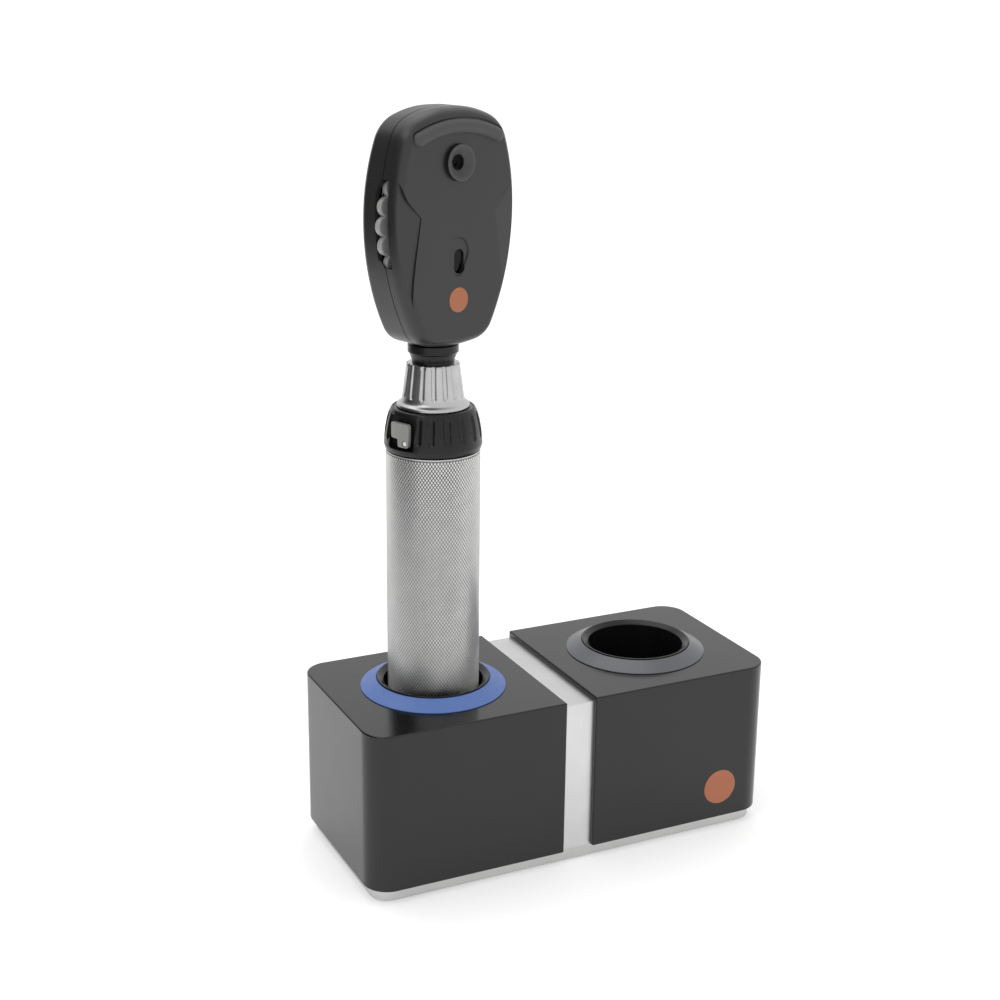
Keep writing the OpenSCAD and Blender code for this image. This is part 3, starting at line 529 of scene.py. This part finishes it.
# Edge widths in millimetres for the pieces in sight
BEVELS = {
    "base_plate": 0.3, "centre_strip": 0.25, "rubber_feet": 0.2, "power_inlet": 0.15, "bottom_cap": 0.12,
    "left_well_cup": 0.12, "right_well_cup": 0.12, "aperture_wheel": 0.12, "filter_slide": 0.2,
    "shell_screws": 0.1, "scale_window": 0.1, "base_screws": 0.1, "chassis": 0.1,
}


def dress_cad_nodes():
    """Gives every CAD node its slot's finish and softened edges, wider on the ones in sight."""
    for part in frame["record"]["subparts"]:
        node = part["node"]
        obj = frame["nodes"][node]
        obj.data.materials.clear()
        obj.data.materials.append(FINISH[part["material_slot"]])
        for p in obj.data.polygons:
            p.use_smooth = True
        weld = obj.modifiers.new("weld", "WELD")
        weld.merge_threshold = 0.000002
        bevel = obj.modifiers.new("edge", "BEVEL")
        bevel.width = BEVELS.get(node, 0.05)*0.001
        bevel.segments = 2 if node in BEVELS else 1
        bevel.limit_method = "ANGLE"
        bevel.angle_limit = radians(32)
        obj.modifiers.new("normals", "WEIGHTED_NORMAL")


# ------------------------------------------------------------------ charger

def hood_outline(inset, side):
    """Footprint of a hood, drawn in by an inset; every inset has the same number of points."""
    corners = (
        (HOOD_X0, -HALF_W, 0.6, 180, 4), (HALF_L, -HALF_W, HOOD_R, 270, 16),
        (HALF_L, HALF_W, HOOD_R, 0, 16), (HOOD_X0, HALF_W, 0.6, 90, 4))
    arcs = []
    for x, y, r, start, steps in corners:
        q = max(r - inset, 0.02)
        cx = x + (inset + q if x == HOOD_X0 else -inset - q)
        cy = y - (inset + q)*(1 if y > 0 else -1)
        arcs.append([(cx + q*cos(radians(start + 90*k/steps)), cy + q*sin(radians(start + 90*k/steps)))
                     for k in range(steps + 1)])
    out = []
    for i, arc in enumerate(arcs):
        out += arc
        a, b = arc[-1], arcs[(i + 1) % 4][0]
        out += [(a[0] + (b[0] - a[0])*k/16, a[1] + (b[1] - a[1])*k/16) for k in range(1, 16)]
    return [(side*x, y) for x, y in out]


def hood(side, name):
    """Housing with rounded edges, open below, with a round hole in its top and two screw bosses inside."""
    edge = 0.55
    lower = 0.35

    def ring(inset, z):
        return [(x, y, z) for x, y in hood_outline(inset, side)]

    def circle(r, z):
        out = []
        for x, y in hood_outline(edge, side):
            t = atan2(y, x - side*WELL_X)
            out.append((side*WELL_X + r*cos(t), r*sin(t), z))
        return out

    loops = [ring(lower*(1 - sin(radians(30*k))), HOOD_BASE + lower*(1 - cos(radians(30*k))))
             for k in range(4)]
    loops += [ring(edge*(1 - cos(radians(15*k))), HOOD_TOP - edge*(1 - sin(radians(15*k)))) for k in range(7)]
    loops += [circle(HOLE_R + 0.15, HOOD_TOP), circle(HOLE_R, HOOD_TOP - 0.15)]
    loops.append(circle(HOLE_R, HOOD_TOP - HOOD_WALL))
    loops += [ring(HOOD_WALL, HOOD_TOP - HOOD_WALL), ring(HOOD_WALL, HOOD_BASE)]
    obj = shape(name + "_body", loft(loops, wrap=True))
    bore, outer = BOSS_R
    wall = [(bore, HOOD_BASE), (outer, HOOD_BASE), (outer, BOSS_TOP), (bore, BOSS_TOP)]
    boss_x = side*(HALF_L - BOSS_INSET)
    bosses = [turned(wall, lambda x, y, z, s=s: (boss_x + x, s*(HALF_W - BOSS_INSET) + y, z), 32)
              for s in (-1, 1)]
    boolean(obj, joined(*bosses), "UNION")
    finish_piece(obj, "charger", "hood_paint", (name,), angle=25)


def light_ring(place, name, slot):
    profile = rounded([
        (LIP_R, HOOD_TOP - 3), (HOLE_R - 0.05, HOOD_TOP - 3), (HOLE_R - 0.05, HOOD_TOP - 0.02),
        (COLLAR_R - 0.05, HOOD_TOP + 0.02), (COLLAR_R, HOOD_TOP + 0.3, 0.12),
        (LIP_R, COLLAR_TOP - 0.2, 0.25)])
    finish_piece(shape(name + "_cone", turned(profile, place, 192)), "charger", slot, (name,), angle=40)


def badge(name, mesh, body, slot):
    """Copper-coloured inlay."""
    finish_piece(shape(name, mesh), body, slot, material=INLAY, angle=50)


def charger():
    hood(-1, "left_hood")
    hood(1, "right_hood")
    light_ring(at_handle, "left_light_ring", "ring_lit")
    light_ring(at_spare, "right_light_ring", "ring_unlit")
    r, x0, z0 = HOOD_INLAY
    plate = disc(r, -0.3, INLAY_PROUD, lambda x, y, h: (x0 + x, -HALF_W - h, z0 + y), 96, 0.08)
    badge("charger_inlay", plate, "charger", "hood_paint")


# ------------------------------------------------------------------ handle

def knurled_tube():
    """Tube with a raised, flat-topped diamond for each crossing of the two spiral cuts."""
    half_row = 0.75
    rows = 166
    z_low = KNURL_FOOT
    crown = 0.7
    low = TUBE_R - KNURL_DEPTH
    n = 2*KNURLS
    verts, faces, at = [], [], {}

    def put(a, b, r):
        t = pi*a/KNURLS
        verts.append(at_handle(r*cos(t), r*sin(t), z_low + half_row*b))
        return len(verts) - 1

    for b in range(rows + 1):
        for a in range(n):
            if (a + b) % 2 or b in (0, rows):
                at[a, b] = put(a, b, low)
    for b in range(rows + 1):
        for a in range(b % 2, n, 2):
            left, right = at[(a - 1) % n, b], at[(a + 1) % n, b]
            if b in (0, rows):
                tip = at[a, 1 if b == 0 else rows - 1]
                faces += [(left, at[a, b], tip), (at[a, b], right, tip)]
                continue
            ring = (right, at[a, b + 1], left, at[a, b - 1])
            top = (put(a + crown, b, TUBE_R), put(a, b + crown, TUBE_R),
                   put(a - crown, b, TUBE_R), put(a, b - crown, TUBE_R))
            faces.append(top)
            faces += [(ring[k], ring[(k + 1) % 4], top[(k + 1) % 4], top[k]) for k in range(4)]
    z_high = z_low + half_row*rows
    z0, z1 = TUBE_Z
    band = [(TUBE_R - 0.02, z_high + 0.12), (TUBE_R - 0.02, z1 - 0.12), (TUBE_R - 0.15, z1),
            (TUBE_IN, z1), (TUBE_IN, z0), (TUBE_R - 0.2, z0), (TUBE_R, z0 + 0.2), (TUBE_R, z_low - 0.25)]
    previous = [at[a, rows] for a in range(n)]
    for r, z in band:
        ring = [len(verts) + a for a in range(n)]
        verts.extend(at_handle(r*cos(pi*a/KNURLS), r*sin(pi*a/KNURLS), z) for a in range(n))
        faces += [(previous[a], previous[(a + 1) % n], ring[(a + 1) % n], ring[a]) for a in range(n)]
        previous = ring
    foot = [at[a, 0] for a in range(n)]
    faces += [(previous[a], previous[(a + 1) % n], foot[(a + 1) % n], foot[a]) for a in range(n)]
    obj = shape("knurled_tube", (verts, faces))
    finish_piece(obj, "handle", "knurled_metal", ("handle_tube",), angle=20, weighted=False)


def apart(t, f):
    """Signed angle from f to t, the short way round."""
    return (t - f + pi) % (2*pi) - pi


def groove(distance, along, low, high, half_width, depth):
    """Depth of a round-ended groove at a distance from its middle line."""
    past = max(0.0, low + half_width - along, along - high + half_width)
    q = hypot(distance, past)/half_width
    return depth*sqrt(1 - q*q) if q < 1 else 0.0


def pocket(x, y, z):
    """A place in the frame of the release button: outwards, round the ring, and up."""
    return at_handle(x*cos(BUTTON_TURN) - y*sin(BUTTON_TURN), x*sin(BUTTON_TURN) + y*cos(BUTTON_TURN), z)


def dimmer_ring():
    """Grooved grip ring with a window for its button."""
    flutes = [BUTTON_TURN + radians(a) for a in RING_FLUTES]
    top = RING_Z + RING_H
    outside = [
        (TUBE_R - 0.1, RING_Z), (TUBE_R + 0.2, RING_Z + 0.3), (RING_R - 0.1, RING_Z + 1.3),
        (RING_R, RING_Z + 1.8), (RING_R - 0.11, RING_Z + 3.3), (RING_R - 0.4, RING_Z + 6.3),
        (RING_R - 0.95, RING_Z + 9.3), (RING_R - 1.6, RING_Z + 11.7), (RING_R - 2.1, top - 0.8),
        (RING_R - 2.4, top - 0.25), (RING_R - 2.8, top)]
    profile = dense(outside + [(RING_BORE, top), (RING_BORE, RING_Z)], 0.28, lambda p: p[0] > RING_BORE + 0.1)

    def relief(t, r, h):
        if r < RING_BORE + 0.4 or not RING_Z + 1 < h < top - 0.4:
            return r
        for f in flutes:
            d = apart(t, f)
            if abs(d) < 0.08:
                return r - groove(d*r, h, RING_Z + 4.0, RING_Z + 12.3, *RING_FLUTE_SIZE)
        return r

    obj = shape("dimmer_ring_grip", turned(profile, at_handle, 504, relief))
    window = rectangle(5.2, RING_Z + 1.9, RING_Z + RING_H - 1.4, 0.7, 6)
    boolean(obj, loft([[pocket(x, y, z) for y, z in window] for x in (12.9, 18)]))
    boolean(obj, block((-RING_BORE - 0.6, -3.2, RING_Z + 3), (1 - RING_BORE, 3.2, RING_Z + 8), pocket))
    finish_piece(obj, "dimmer", "black_plastic", ("dimmer_ring",), angle=35)


def release_button():
    """Cap with a step in its lower edge, which fills the ring's window and has a hole for the lamp."""
    inner, outer = BUTTON_REACH
    wall = [(13, RING_Z + 1), (outer, RING_Z + 1), (outer, RING_Z + 12), (13, RING_Z + 12)]
    cap = shape("release_button_cap", turned(wall, at_handle, 360))
    y0, y1 = BUTTON_Y
    foot, step, top = BUTTON_Z
    plan = rounded([
        (y0, step, 0.7), (-1.1, step, 0.3), (-1.1, foot, 0.6), (y1 - 0.4, foot, 0.6), (y1, step + 0.1, 0.3),
        (y1, top, 0.9), (y0, top, 0.9)], 6)
    boolean(cap, loft([[pocket(x, y, z) for y, z in plan] for x in (inner, 17)]), "INTERSECT")
    led_y, led_z = LED_AT
    boolean(cap, disc(LED_HOLE_R, 12, 17, lambda x, y, h: pocket(h, led_y + x, led_z + y), 48))
    bevel = cap.modifiers.new("edge", "BEVEL")
    bevel.width = 0.00022
    bevel.segments = 3
    bevel.limit_method = "ANGLE"
    bevel.angle_limit = radians(50)
    finish_piece(cap, "button", "button_plastic", ("release_button",), angle=60)


def head_socket():
    """Fluted cone that the head sits on, with a rounded flange at its foot."""
    turns = [2*pi*i/FLUTES for i in range(FLUTES)]
    low_r, high_r = CONE_R
    outside = [(SOCKET_R, SOCKET_Z), (SOCKET_R, SOCKET_Z + 0.5), (11.35, SOCKET_Z + 0.85),
               (10.9, SOCKET_Z + 1.15), (10.4, SOCKET_Z + 1.5), (10.1, SOCKET_Z + 1.95),
               (9.9, SOCKET_Z + 2.4), (9.78, CONE_FOOT + 0.3), (low_r, CONE_FOOT + 0.8),
               (high_r + 0.1, CONE_TOP - 0.5), (high_r - 0.05, CONE_TOP - 0.15), (high_r - 0.4, CONE_TOP)]
    inside = [(6.65, CONE_TOP), (6.65, CONE_TOP - 1.2), (5.65, CONE_TOP - 1.2), (5.65, SOCKET_Z + 3.1),
              (1.5, SOCKET_Z + 3.1), (1.5, 140), (8.95, 140), (8.95, SOCKET_Z)]
    profile = dense(outside + inside, 0.3, lambda p: p[0] > 7 and p[1] > SOCKET_Z + 0.4)

    def relief(t, r, h):
        if r < 7.5 or h < CONE_FOOT:
            return r
        for f in turns:
            d = apart(t, f)
            if abs(d) < 0.11:
                return r - groove(d*r, h, CONE_FOOT + 0.5, CONE_TOP + 4, *FLUTE_SIZE)
        return r

    obj = shape("head_socket_cone", turned(profile, at_handle, 480, relief))
    finish_piece(obj, "handle", "polished_metal", ("head_socket",), angle=35)


def neck_connector():
    profile = rounded([
        (1.2, 157.1), (5.6, 157.1), (5.6, 166.5), (6.6, 166.5), (6.6, 167.9, 0.3), (7.5, 170.3, 0.3),
        (8, 170.8, 0.2), (8, 173.3, 0.3), (6.05, 173.3), (6.05, 176.95), (1.2, 176.95)])
    obj = shape("neck_collar", turned(profile, at_handle, 128))
    finish_piece(obj, "head", "black_plastic", ("neck_connector",), angle=40)


# ------------------------------------------------------------------ head

def head_outline(inset):
    """Outline of the head from its arcs, drawn in by an inset; every inset has the same number of points."""
    half = []
    x, z, a = 0.0, HEAD_TOP - inset, 0.0
    for (radius, turn), steps in zip(HEAD_ARCS, ARC_STEPS):
        r = radius - inset
        b = a + radians(turn)
        for i in range(steps):
            t = a + (b - a)*i/steps
            half.append((x + r*(sin(t) - sin(a)), z + r*(cos(t) - cos(a))))
        x += r*(sin(b) - sin(a))
        z += r*(cos(b) - cos(a))
        a = b
    r = x/sin(pi - a)
    for i in range(CLOSING_STEPS + 1):
        t = a + (pi - a)*i/CLOSING_STEPS
        half.append((max(0.0, x + r*(sin(t) - sin(a))), z + r*(cos(t) - cos(a))))
    half[-1] = (0.0, half[-1][1])
    return half + [(-u, w) for u, w in half[-2:0:-1]]


def head_loft(rings):
    """Rings are (inset, distance towards the observer at the back level, slope with height)."""
    return loft([[head(u, v + k*(z - BACK_LEVEL), z) for u, z in head_outline(inset)]
                 for inset, v, k in rings])


def seen(points, v_low, v_high, flare=0.0):
    """Prism along the line of sight over (across, height) points, wider by flare at its front."""
    cu = sum(p[0] for p in points)/len(points)
    cz = sum(p[1] for p in points)/len(points)

    def grown(k):
        return [(u + k*(u - cu)/hypot(u - cu, z - cz), z + k*(z - cz)/hypot(u - cu, z - cz))
                for u, z in points]

    if not flare:
        return loft([[head(u, v, z) for u, z in points] for v in (v_low, v_high)])
    return loft([[head(u, v, z) for u, z in grown(k)] for k, v in
                 ((0, v_low), (0, FACE - flare), (flare, FACE), (flare, v_high))])


def keyhole():
    """Outline of the teardrop recess around the scale window, drawn as the hull of its two circles."""
    (z0, r0), (z1, r1) = KEYHOLE
    lean = (r0 - r1)/(z0 - z1)
    a = atan2(-lean, sqrt(1 - lean*lean))
    out = [(r0*cos(a + (pi - 2*a)*i/32), z0 + r0*sin(a + (pi - 2*a)*i/32)) for i in range(33)]
    out += [(r1*cos(pi - a + (pi + 2*a)*i/20), z1 + r1*sin(pi - a + (pi + 2*a)*i/20)) for i in range(21)]
    return out


def on_posts(r, low, high, seg):
    """Discs on the lines of the four screw posts."""
    return [disc(r, low, high, along_sight(z, u), seg) for u, z, _ in POSTS]


def oval(u, z, r, stretch, n=32):
    """Upright slot shape about a middle point, with straight sides of twice the stretch."""
    out = [(u + r*cos(pi*i/n), z + stretch + r*sin(pi*i/n)) for i in range(n + 1)]
    return out + [(u - r*cos(pi*i/n), z - stretch - r*sin(pi*i/n)) for i in range(n + 1)]


def curve_through(points, steps):
    """Catmull-Rom curve through open control points."""
    out = []
    for i in range(len(points) - 1):
        p0 = Vector(points[max(i - 1, 0)])
        p1, p2 = Vector(points[i]), Vector(points[i + 1])
        p3 = Vector(points[min(i + 2, len(points) - 1)])
        for k in range(steps):
            t = k/steps
            q = 0.5*((2*p1) + (p2 - p0)*t + (2*p0 - 5*p1 + 4*p2 - p3)*t*t + (3*p1 - p0 - 3*p2 + p3)*t**3)
            out.append((q.x, q.y))
    return out + [tuple(points[-1])]


def wing(side):
    """Sunken field beside the raised middle of the observer's face."""
    edge = curve_through(WING_TOP, 6)[:-1] + curve_through(WING_SIDE, 5)
    points = edge + [(27, 178), (28, 202), (28, 228)]
    if side < 0:
        points = [(-u, z) for u, z in points]
    low = [head(u, FACE - 0.3 - 0.11*max(0.0, abs(u) - 15), z) for u, z in points]
    return loft([low, [head(u, FACE + 2, z) for u, z in points]])


def front_shell():
    """Observer's half: a rounded skin over a cavity with posts, then its bores, fields, groove and slots."""
    side_r, depth_r = FRONT_EDGE
    rings = [(0, SEAM + SEAM_GAP, 0)]
    rings += [(side_r*(1 - cos(radians(7.5*i))), FACE - depth_r*(1 - sin(radians(7.5*i))), 0)
              for i in range(13)]
    obj = shape("front_shell_skin", head_loft(rings))
    cavity = shape("cavity", head_loft([(SHELL_WALL, SEAM - 1, 0), (SHELL_WALL, SEAM + 2, 0),
                                        (SHELL_WALL + 1.2, FACE - SHELL_WALL, 0)]))
    pillars = on_posts(POST_R, SEAM - 2, FACE, 32)
    pillars.append(disc(3, SEAM - 2, FACE, along_sight(WHEEL_Z), 32))
    boolean(cavity, joined(*pillars))
    boolean(obj, cavity)
    bores = on_posts(SCREW_R, SEAM - 1, POST_TIP, 24)
    bores += [disc(AXLE_R, SEAM - 1, FACE - SHELL_WALL, along_sight(WHEEL_Z), 32),
              disc(EYE_BORE, FACE - 3, FACE + 1, along_sight(EYE_Z), 64)]
    boolean(obj, joined(*bores))
    boolean(obj, joined(wing(-1), wing(1)))
    boolean(obj, brow_bar(BROW_R + 0.25, FACE - 0.65, 0.4))
    (u0, u1), (z0, z1) = SLOT_U, SLOT_Z
    for s in (-1, 1):
        notch = [(s*u0, z0), (s*u1, z0), (s*u1, z1), (s*u0, z1)]
        boolean(obj, seen(notch, SEAM - 0.5, SEAM + SLOT_FRONT))
    boolean(obj, seen(keyhole(), FACE - 0.5, FACE + 1, 0.3))
    boolean(obj, seen(oval(*SCALE_OVAL), FACE - 3, FACE))
    boolean(obj, disc(*NECK_HOLE, at_handle, 96))
    finish_piece(obj, "head", "head_plastic", ("front_shell",), angle=28)


def rear_shell():
    """Patient's half, with the wheel's recess, screw recesses, window seat and the two openings below it."""
    def rings(inset, drop):
        """Rounded edge of the sloping back, from the middle out to the side."""
        out = []
        side_r, depth_r = BACK_EDGE[0] - drop, BACK_EDGE[1] - drop
        for i in range(12, -1, -1):
            a = radians(7.5*i)
            v = -(BACK - drop - depth_r*(1 - sin(a)))
            out.append((inset + side_r*(1 - cos(a)), v, BACK_SLOPE))
        return out

    outside = -BACK - 3
    obj = shape("rear_shell_skin", head_loft(rings(0, 0) + [(0, SEAM - SEAM_GAP, 0)]))
    cavity = shape("cavity", head_loft(rings(SHELL_WALL, 1.4) + [(SHELL_WALL, SEAM + 1, 0)]))
    boolean(cavity, joined(*on_posts(POST_R, outside, SEAM + 2, 32)))
    boolean(obj, cavity)
    boolean(obj, joined(*[disc(SCREW_HEAD_R, outside, -depth, along_sight(z, u), 48) for u, z, depth in POSTS]))
    boolean(obj, joined(*on_posts(SCREW_R + 0.05, outside, SEAM + 1, 24)))
    floor_v = WHEEL_V[0] - SLOT_GAP
    boolean(obj, disc(WHEEL_R + SLOT_GAP, floor_v, SEAM + 1, along_sight(WHEEL_Z), 192))
    middle = (SLOT_Z[0] + SLOT_Z[1])/2
    half = (SLOT_Z[1] - SLOT_Z[0])/2
    for s in (-1, 1):
        edge = [(floor_v + 2.3*max(0.0, 2*abs(k)/12 - 1)**2, middle + half*k/12) for k in range(-12, 13)]
        edge += [(SEAM + 1, edge[-1][1]), (SEAM + 1, edge[0][1])]
        boolean(obj, loft([[head(s*u, v, z) for v, z in edge] for u in SLOT_U]))
    back = back_at(WINDOW_Z)
    boolean(obj, disc(6.65, outside, 0.45 - back, along_sight(WINDOW_Z), 96))
    boolean(obj, disc(5.25, outside, 2.4 - back, along_sight(WINDOW_Z), 96))
    wheel_gap = seen(rectangle(*APERTURE_SLOT), outside, -5)
    filter_gap = seen(rectangle(*FILTER_SLOT), outside, -6)
    boolean(obj, joined(wheel_gap, filter_gap))
    boolean(obj, disc(*NECK_HOLE, at_handle, 96))
    finish_piece(obj, "head", "head_plastic", ("rear_shell",), angle=28)


def brow_bar(bar_r, floor_v, rise=0.0, axis_v=FACE - 0.9):
    """Round bar that follows an arc across the forehead side, down to a depth in the face."""
    arc_r = BROW_ARC + rise
    centre_z = BROW_TOP - BROW_ARC
    half = BROW_HALF
    loops = []
    stops = [(-half, -bar_r*cos(radians(15*k)), bar_r*sin(radians(15*k))) for k in range(1, 6)]
    stops += [(-half + 2*half*k/48, 0.0, bar_r) for k in range(49)]
    stops += [(half, bar_r*cos(radians(15*k)), bar_r*sin(radians(15*k))) for k in range(5, 0, -1)]
    for t, shift, r in stops:
        loop = []
        for k in range(32):
            b = 2*pi*k/32
            radial = arc_r + r*cos(b)
            u = radial*sin(t) + shift*cos(t)
            z = centre_z + radial*cos(t) - shift*sin(t)
            loop.append(head(u, max(axis_v + r*sin(b), floor_v), z))
        loops.append(loop)
    return loft(loops)


def brow_rest():
    obj = shape("brow_rest_bar", brow_bar(BROW_R, FACE - 0.7, axis_v=FACE - 0.45))
    finish_piece(obj, "head", "soft_rubber", ("brow_rest",), angle=60)


def eyepiece():
    """Rubber cup with a funnel, darker on its outer wall and in its pupil, where black is painted shade."""
    inside = FACE - SHELL_WALL
    front = FACE + EYE_PROUD
    profile = rounded([
        (PUPIL_R + 0.5, inside), (EYE_BORE, inside), (EYE_BORE, FACE), (EYE_R, FACE), (EYE_R, front, 0.3),
        (EYE_R - 0.8, front, 0.2), (PUPIL_R, front - 1.9, 0.15), (PUPIL_R, front - 2.4)])
    obj = shape("eyepiece_cup", turned(profile, along_sight(EYE_Z), 128))
    finish_piece(obj, "head", "soft_rubber", ("eyepiece_ring",), angle=40)
    obj.data.materials.append(SHADE)
    axis = Vector(head(0, 0, EYE_Z))*0.001
    toward = Vector(head(0, 1, EYE_Z))*0.001 - axis
    toward.normalize()
    # Painted shade: the cup's outer wall and its pupil get the black shade finish in place of the shadow that
    # falls there
    for p in obj.data.polygons:
        away = p.center - axis
        depth = away.dot(toward)
        r = (away - toward*depth).length*1000
        outer_wall = r > EYE_R - 0.08 and depth*1000 < front - 0.15
        if outer_wall or r < PUPIL_R + 0.2:
            p.material_index = 1


def lens_wheel():
    """Selector wheel with rounded thumb lobes and a ring of lens seats."""
    n = STATIONS*20
    centre = WHEEL_R - LOBE_R

    def rim(t, drop):
        d = (t + pi/STATIONS) % (2*pi/STATIONS) - pi/STATIONS
        q = LOBE_R - drop
        reach = centre*sin(d)
        return max(centre*cos(d) + sqrt(max(q*q - reach*reach, 0)), WHEEL_R - 2.2 - drop)

    v0, v1 = WHEEL_V
    edge = 0.7
    rings = [(edge*(1 - sin(radians(18*k))), v0 + edge*(1 - cos(radians(18*k)))) for k in range(6)]
    rings += [(edge*(1 - cos(radians(18*k))), v1 - edge*(1 - sin(radians(18*k)))) for k in range(6)]
    loops = []
    for drop, v in rings:
        places = [(rim(2*pi*i/n, drop), 2*pi*i/n) for i in range(n)]
        loops.append([head(r*cos(t), v, WHEEL_Z + r*sin(t)) for r, t in places])
    obj = shape("lens_wheel_disc", loft(loops))
    reach = EYE_Z - WHEEL_Z
    turns = [radians(360/STATIONS*i + 90) for i in range(STATIONS)]
    seats = [disc(LENS_R, 1, 5, along_sight(WHEEL_Z + reach*sin(a), reach*cos(a)), 32) for a in turns]
    seats.append(disc(AXLE_R + 0.05, 1, 5, along_sight(WHEEL_Z), 32))
    boolean(obj, joined(*seats))
    finish_piece(obj, "lens_dial", "grey_plastic", ("lens_wheel",), angle=35)


def rear_window():
    back = back_at(WINDOW_Z)
    profile = rounded([
        (4.4, 1.3 - back), (5.2, 1.3 - back), (5.2, 0.45 - back), (6.6, 0.45 - back),
        (6.6, -back - 1.3, 0.45), (4.9, -back - 1.3, 0.3), (4.4, -back - 0.7)])
    obj = shape("rear_window_bezel", turned(profile, along_sight(WINDOW_Z), 128))
    finish_piece(obj, "head", "soft_rubber", ("rear_window_ring",), angle=40)


def head_parts():
    front_shell()
    rear_shell()
    brow_rest()
    eyepiece()
    lens_wheel()
    rear_window()
    neck_connector()
    r, z = HEAD_INLAY
    plate = disc(r, FACE - 0.3, FACE + INLAY_PROUD, along_sight(z), 72, 0.08)
    badge("head_inlay", plate, "head", "head_plastic")


# ------------------------------------------------------------------ camera, floor and light

def camera():
    data = bpy.data.cameras.new("camera")
    data.lens = LENS
    data.sensor_width = 36
    data.clip_start = 0.01
    data.clip_end = 500
    obj = bpy.data.objects.new("camera", data)
    bpy.context.scene.collection.objects.link(obj)
    back = CAMERA_RIGHT.cross(CAMERA_UP).normalized()
    axes = Matrix((CAMERA_RIGHT.normalized(), CAMERA_UP.normalized(), back)).transposed()
    obj.matrix_world = Matrix.Translation(CAMERA_AT) @ axes.to_4x4()
    bpy.context.scene.camera = obj


def floor():
    data = bpy.data.meshes.new("floor")
    r = 120
    n = 64
    data.from_pydata([(r*cos(2*pi*i/n), r*sin(2*pi*i/n), 0) for i in range(n)], [], [tuple(range(n))])
    obj = bpy.data.objects.new("floor", data)
    bpy.context.scene.collection.objects.link(obj)
    white = Nodes("floor_white")
    tint = white.mix(white.noise(8), (0.80, 0.80, 0.80), (0.83, 0.83, 0.83))
    white.feed(white.bsdf.inputs["Base Color"], tint)
    white.bsdf.inputs["Roughness"].default_value = 0.7
    white.bsdf.inputs["Emission Color"].default_value = (1, 1, 1, 1)
    white.bsdf.inputs["Emission Strength"].default_value = 0.3
    data.materials.append(white.mat)


def light(name, at, aim, power, size):
    data = bpy.data.lights.new(name, "AREA")
    data.energy = power
    data.shape = "RECTANGLE"
    data.size = size
    data.size_y = size
    obj = bpy.data.objects.new(name, data)
    bpy.context.scene.collection.objects.link(obj)
    obj.location = at
    obj.rotation_euler = (Vector(aim) - Vector(at)).to_track_quat("-Z", "Y").to_euler()
    obj.visible_camera = False


def card(name, corners):
    """Dark card outside the view, which gives the polished and moulded sides their dark reflection."""
    data = bpy.data.meshes.new(name)
    data.from_pydata(corners, [], [(0, 1, 2, 3)])
    obj = bpy.data.objects.new(name, data)
    bpy.context.scene.collection.objects.link(obj)
    data.materials.append(finish("card_" + name, (0.01, 0.01, 0.01), 0.9, relief=0).mat)
    obj.visible_camera = False
    obj.visible_diffuse = False


def studio():
    world = bpy.data.worlds.new("studio")
    bpy.context.scene.world = world
    world.use_nodes = True
    background = world.node_tree.nodes["Background"]
    background.inputs["Color"].default_value = (1, 1, 1, 1)
    background.inputs["Strength"].default_value = 1.0
    bpy.context.scene.view_settings.view_transform = "Standard"
    light("left_box", (-0.9, -0.2, 1.1), (-0.03, 0, 0.12), 3, 0.7)
    light("top_box", (-0.05, 0.3, 1.1), (-0.03, 0, 0.15), 2.5, 0.8)
    card("left_flag", [(-0.52, -0.25, 0.0), (-0.40, 0.70, 0.0), (-0.40, 0.70, 0.6), (-0.52, -0.25, 0.6)])


camera()
dress_cad_nodes()
charger()
knurled_tube()
dimmer_ring()
release_button()
head_socket()
head_parts()
floor()
studio()
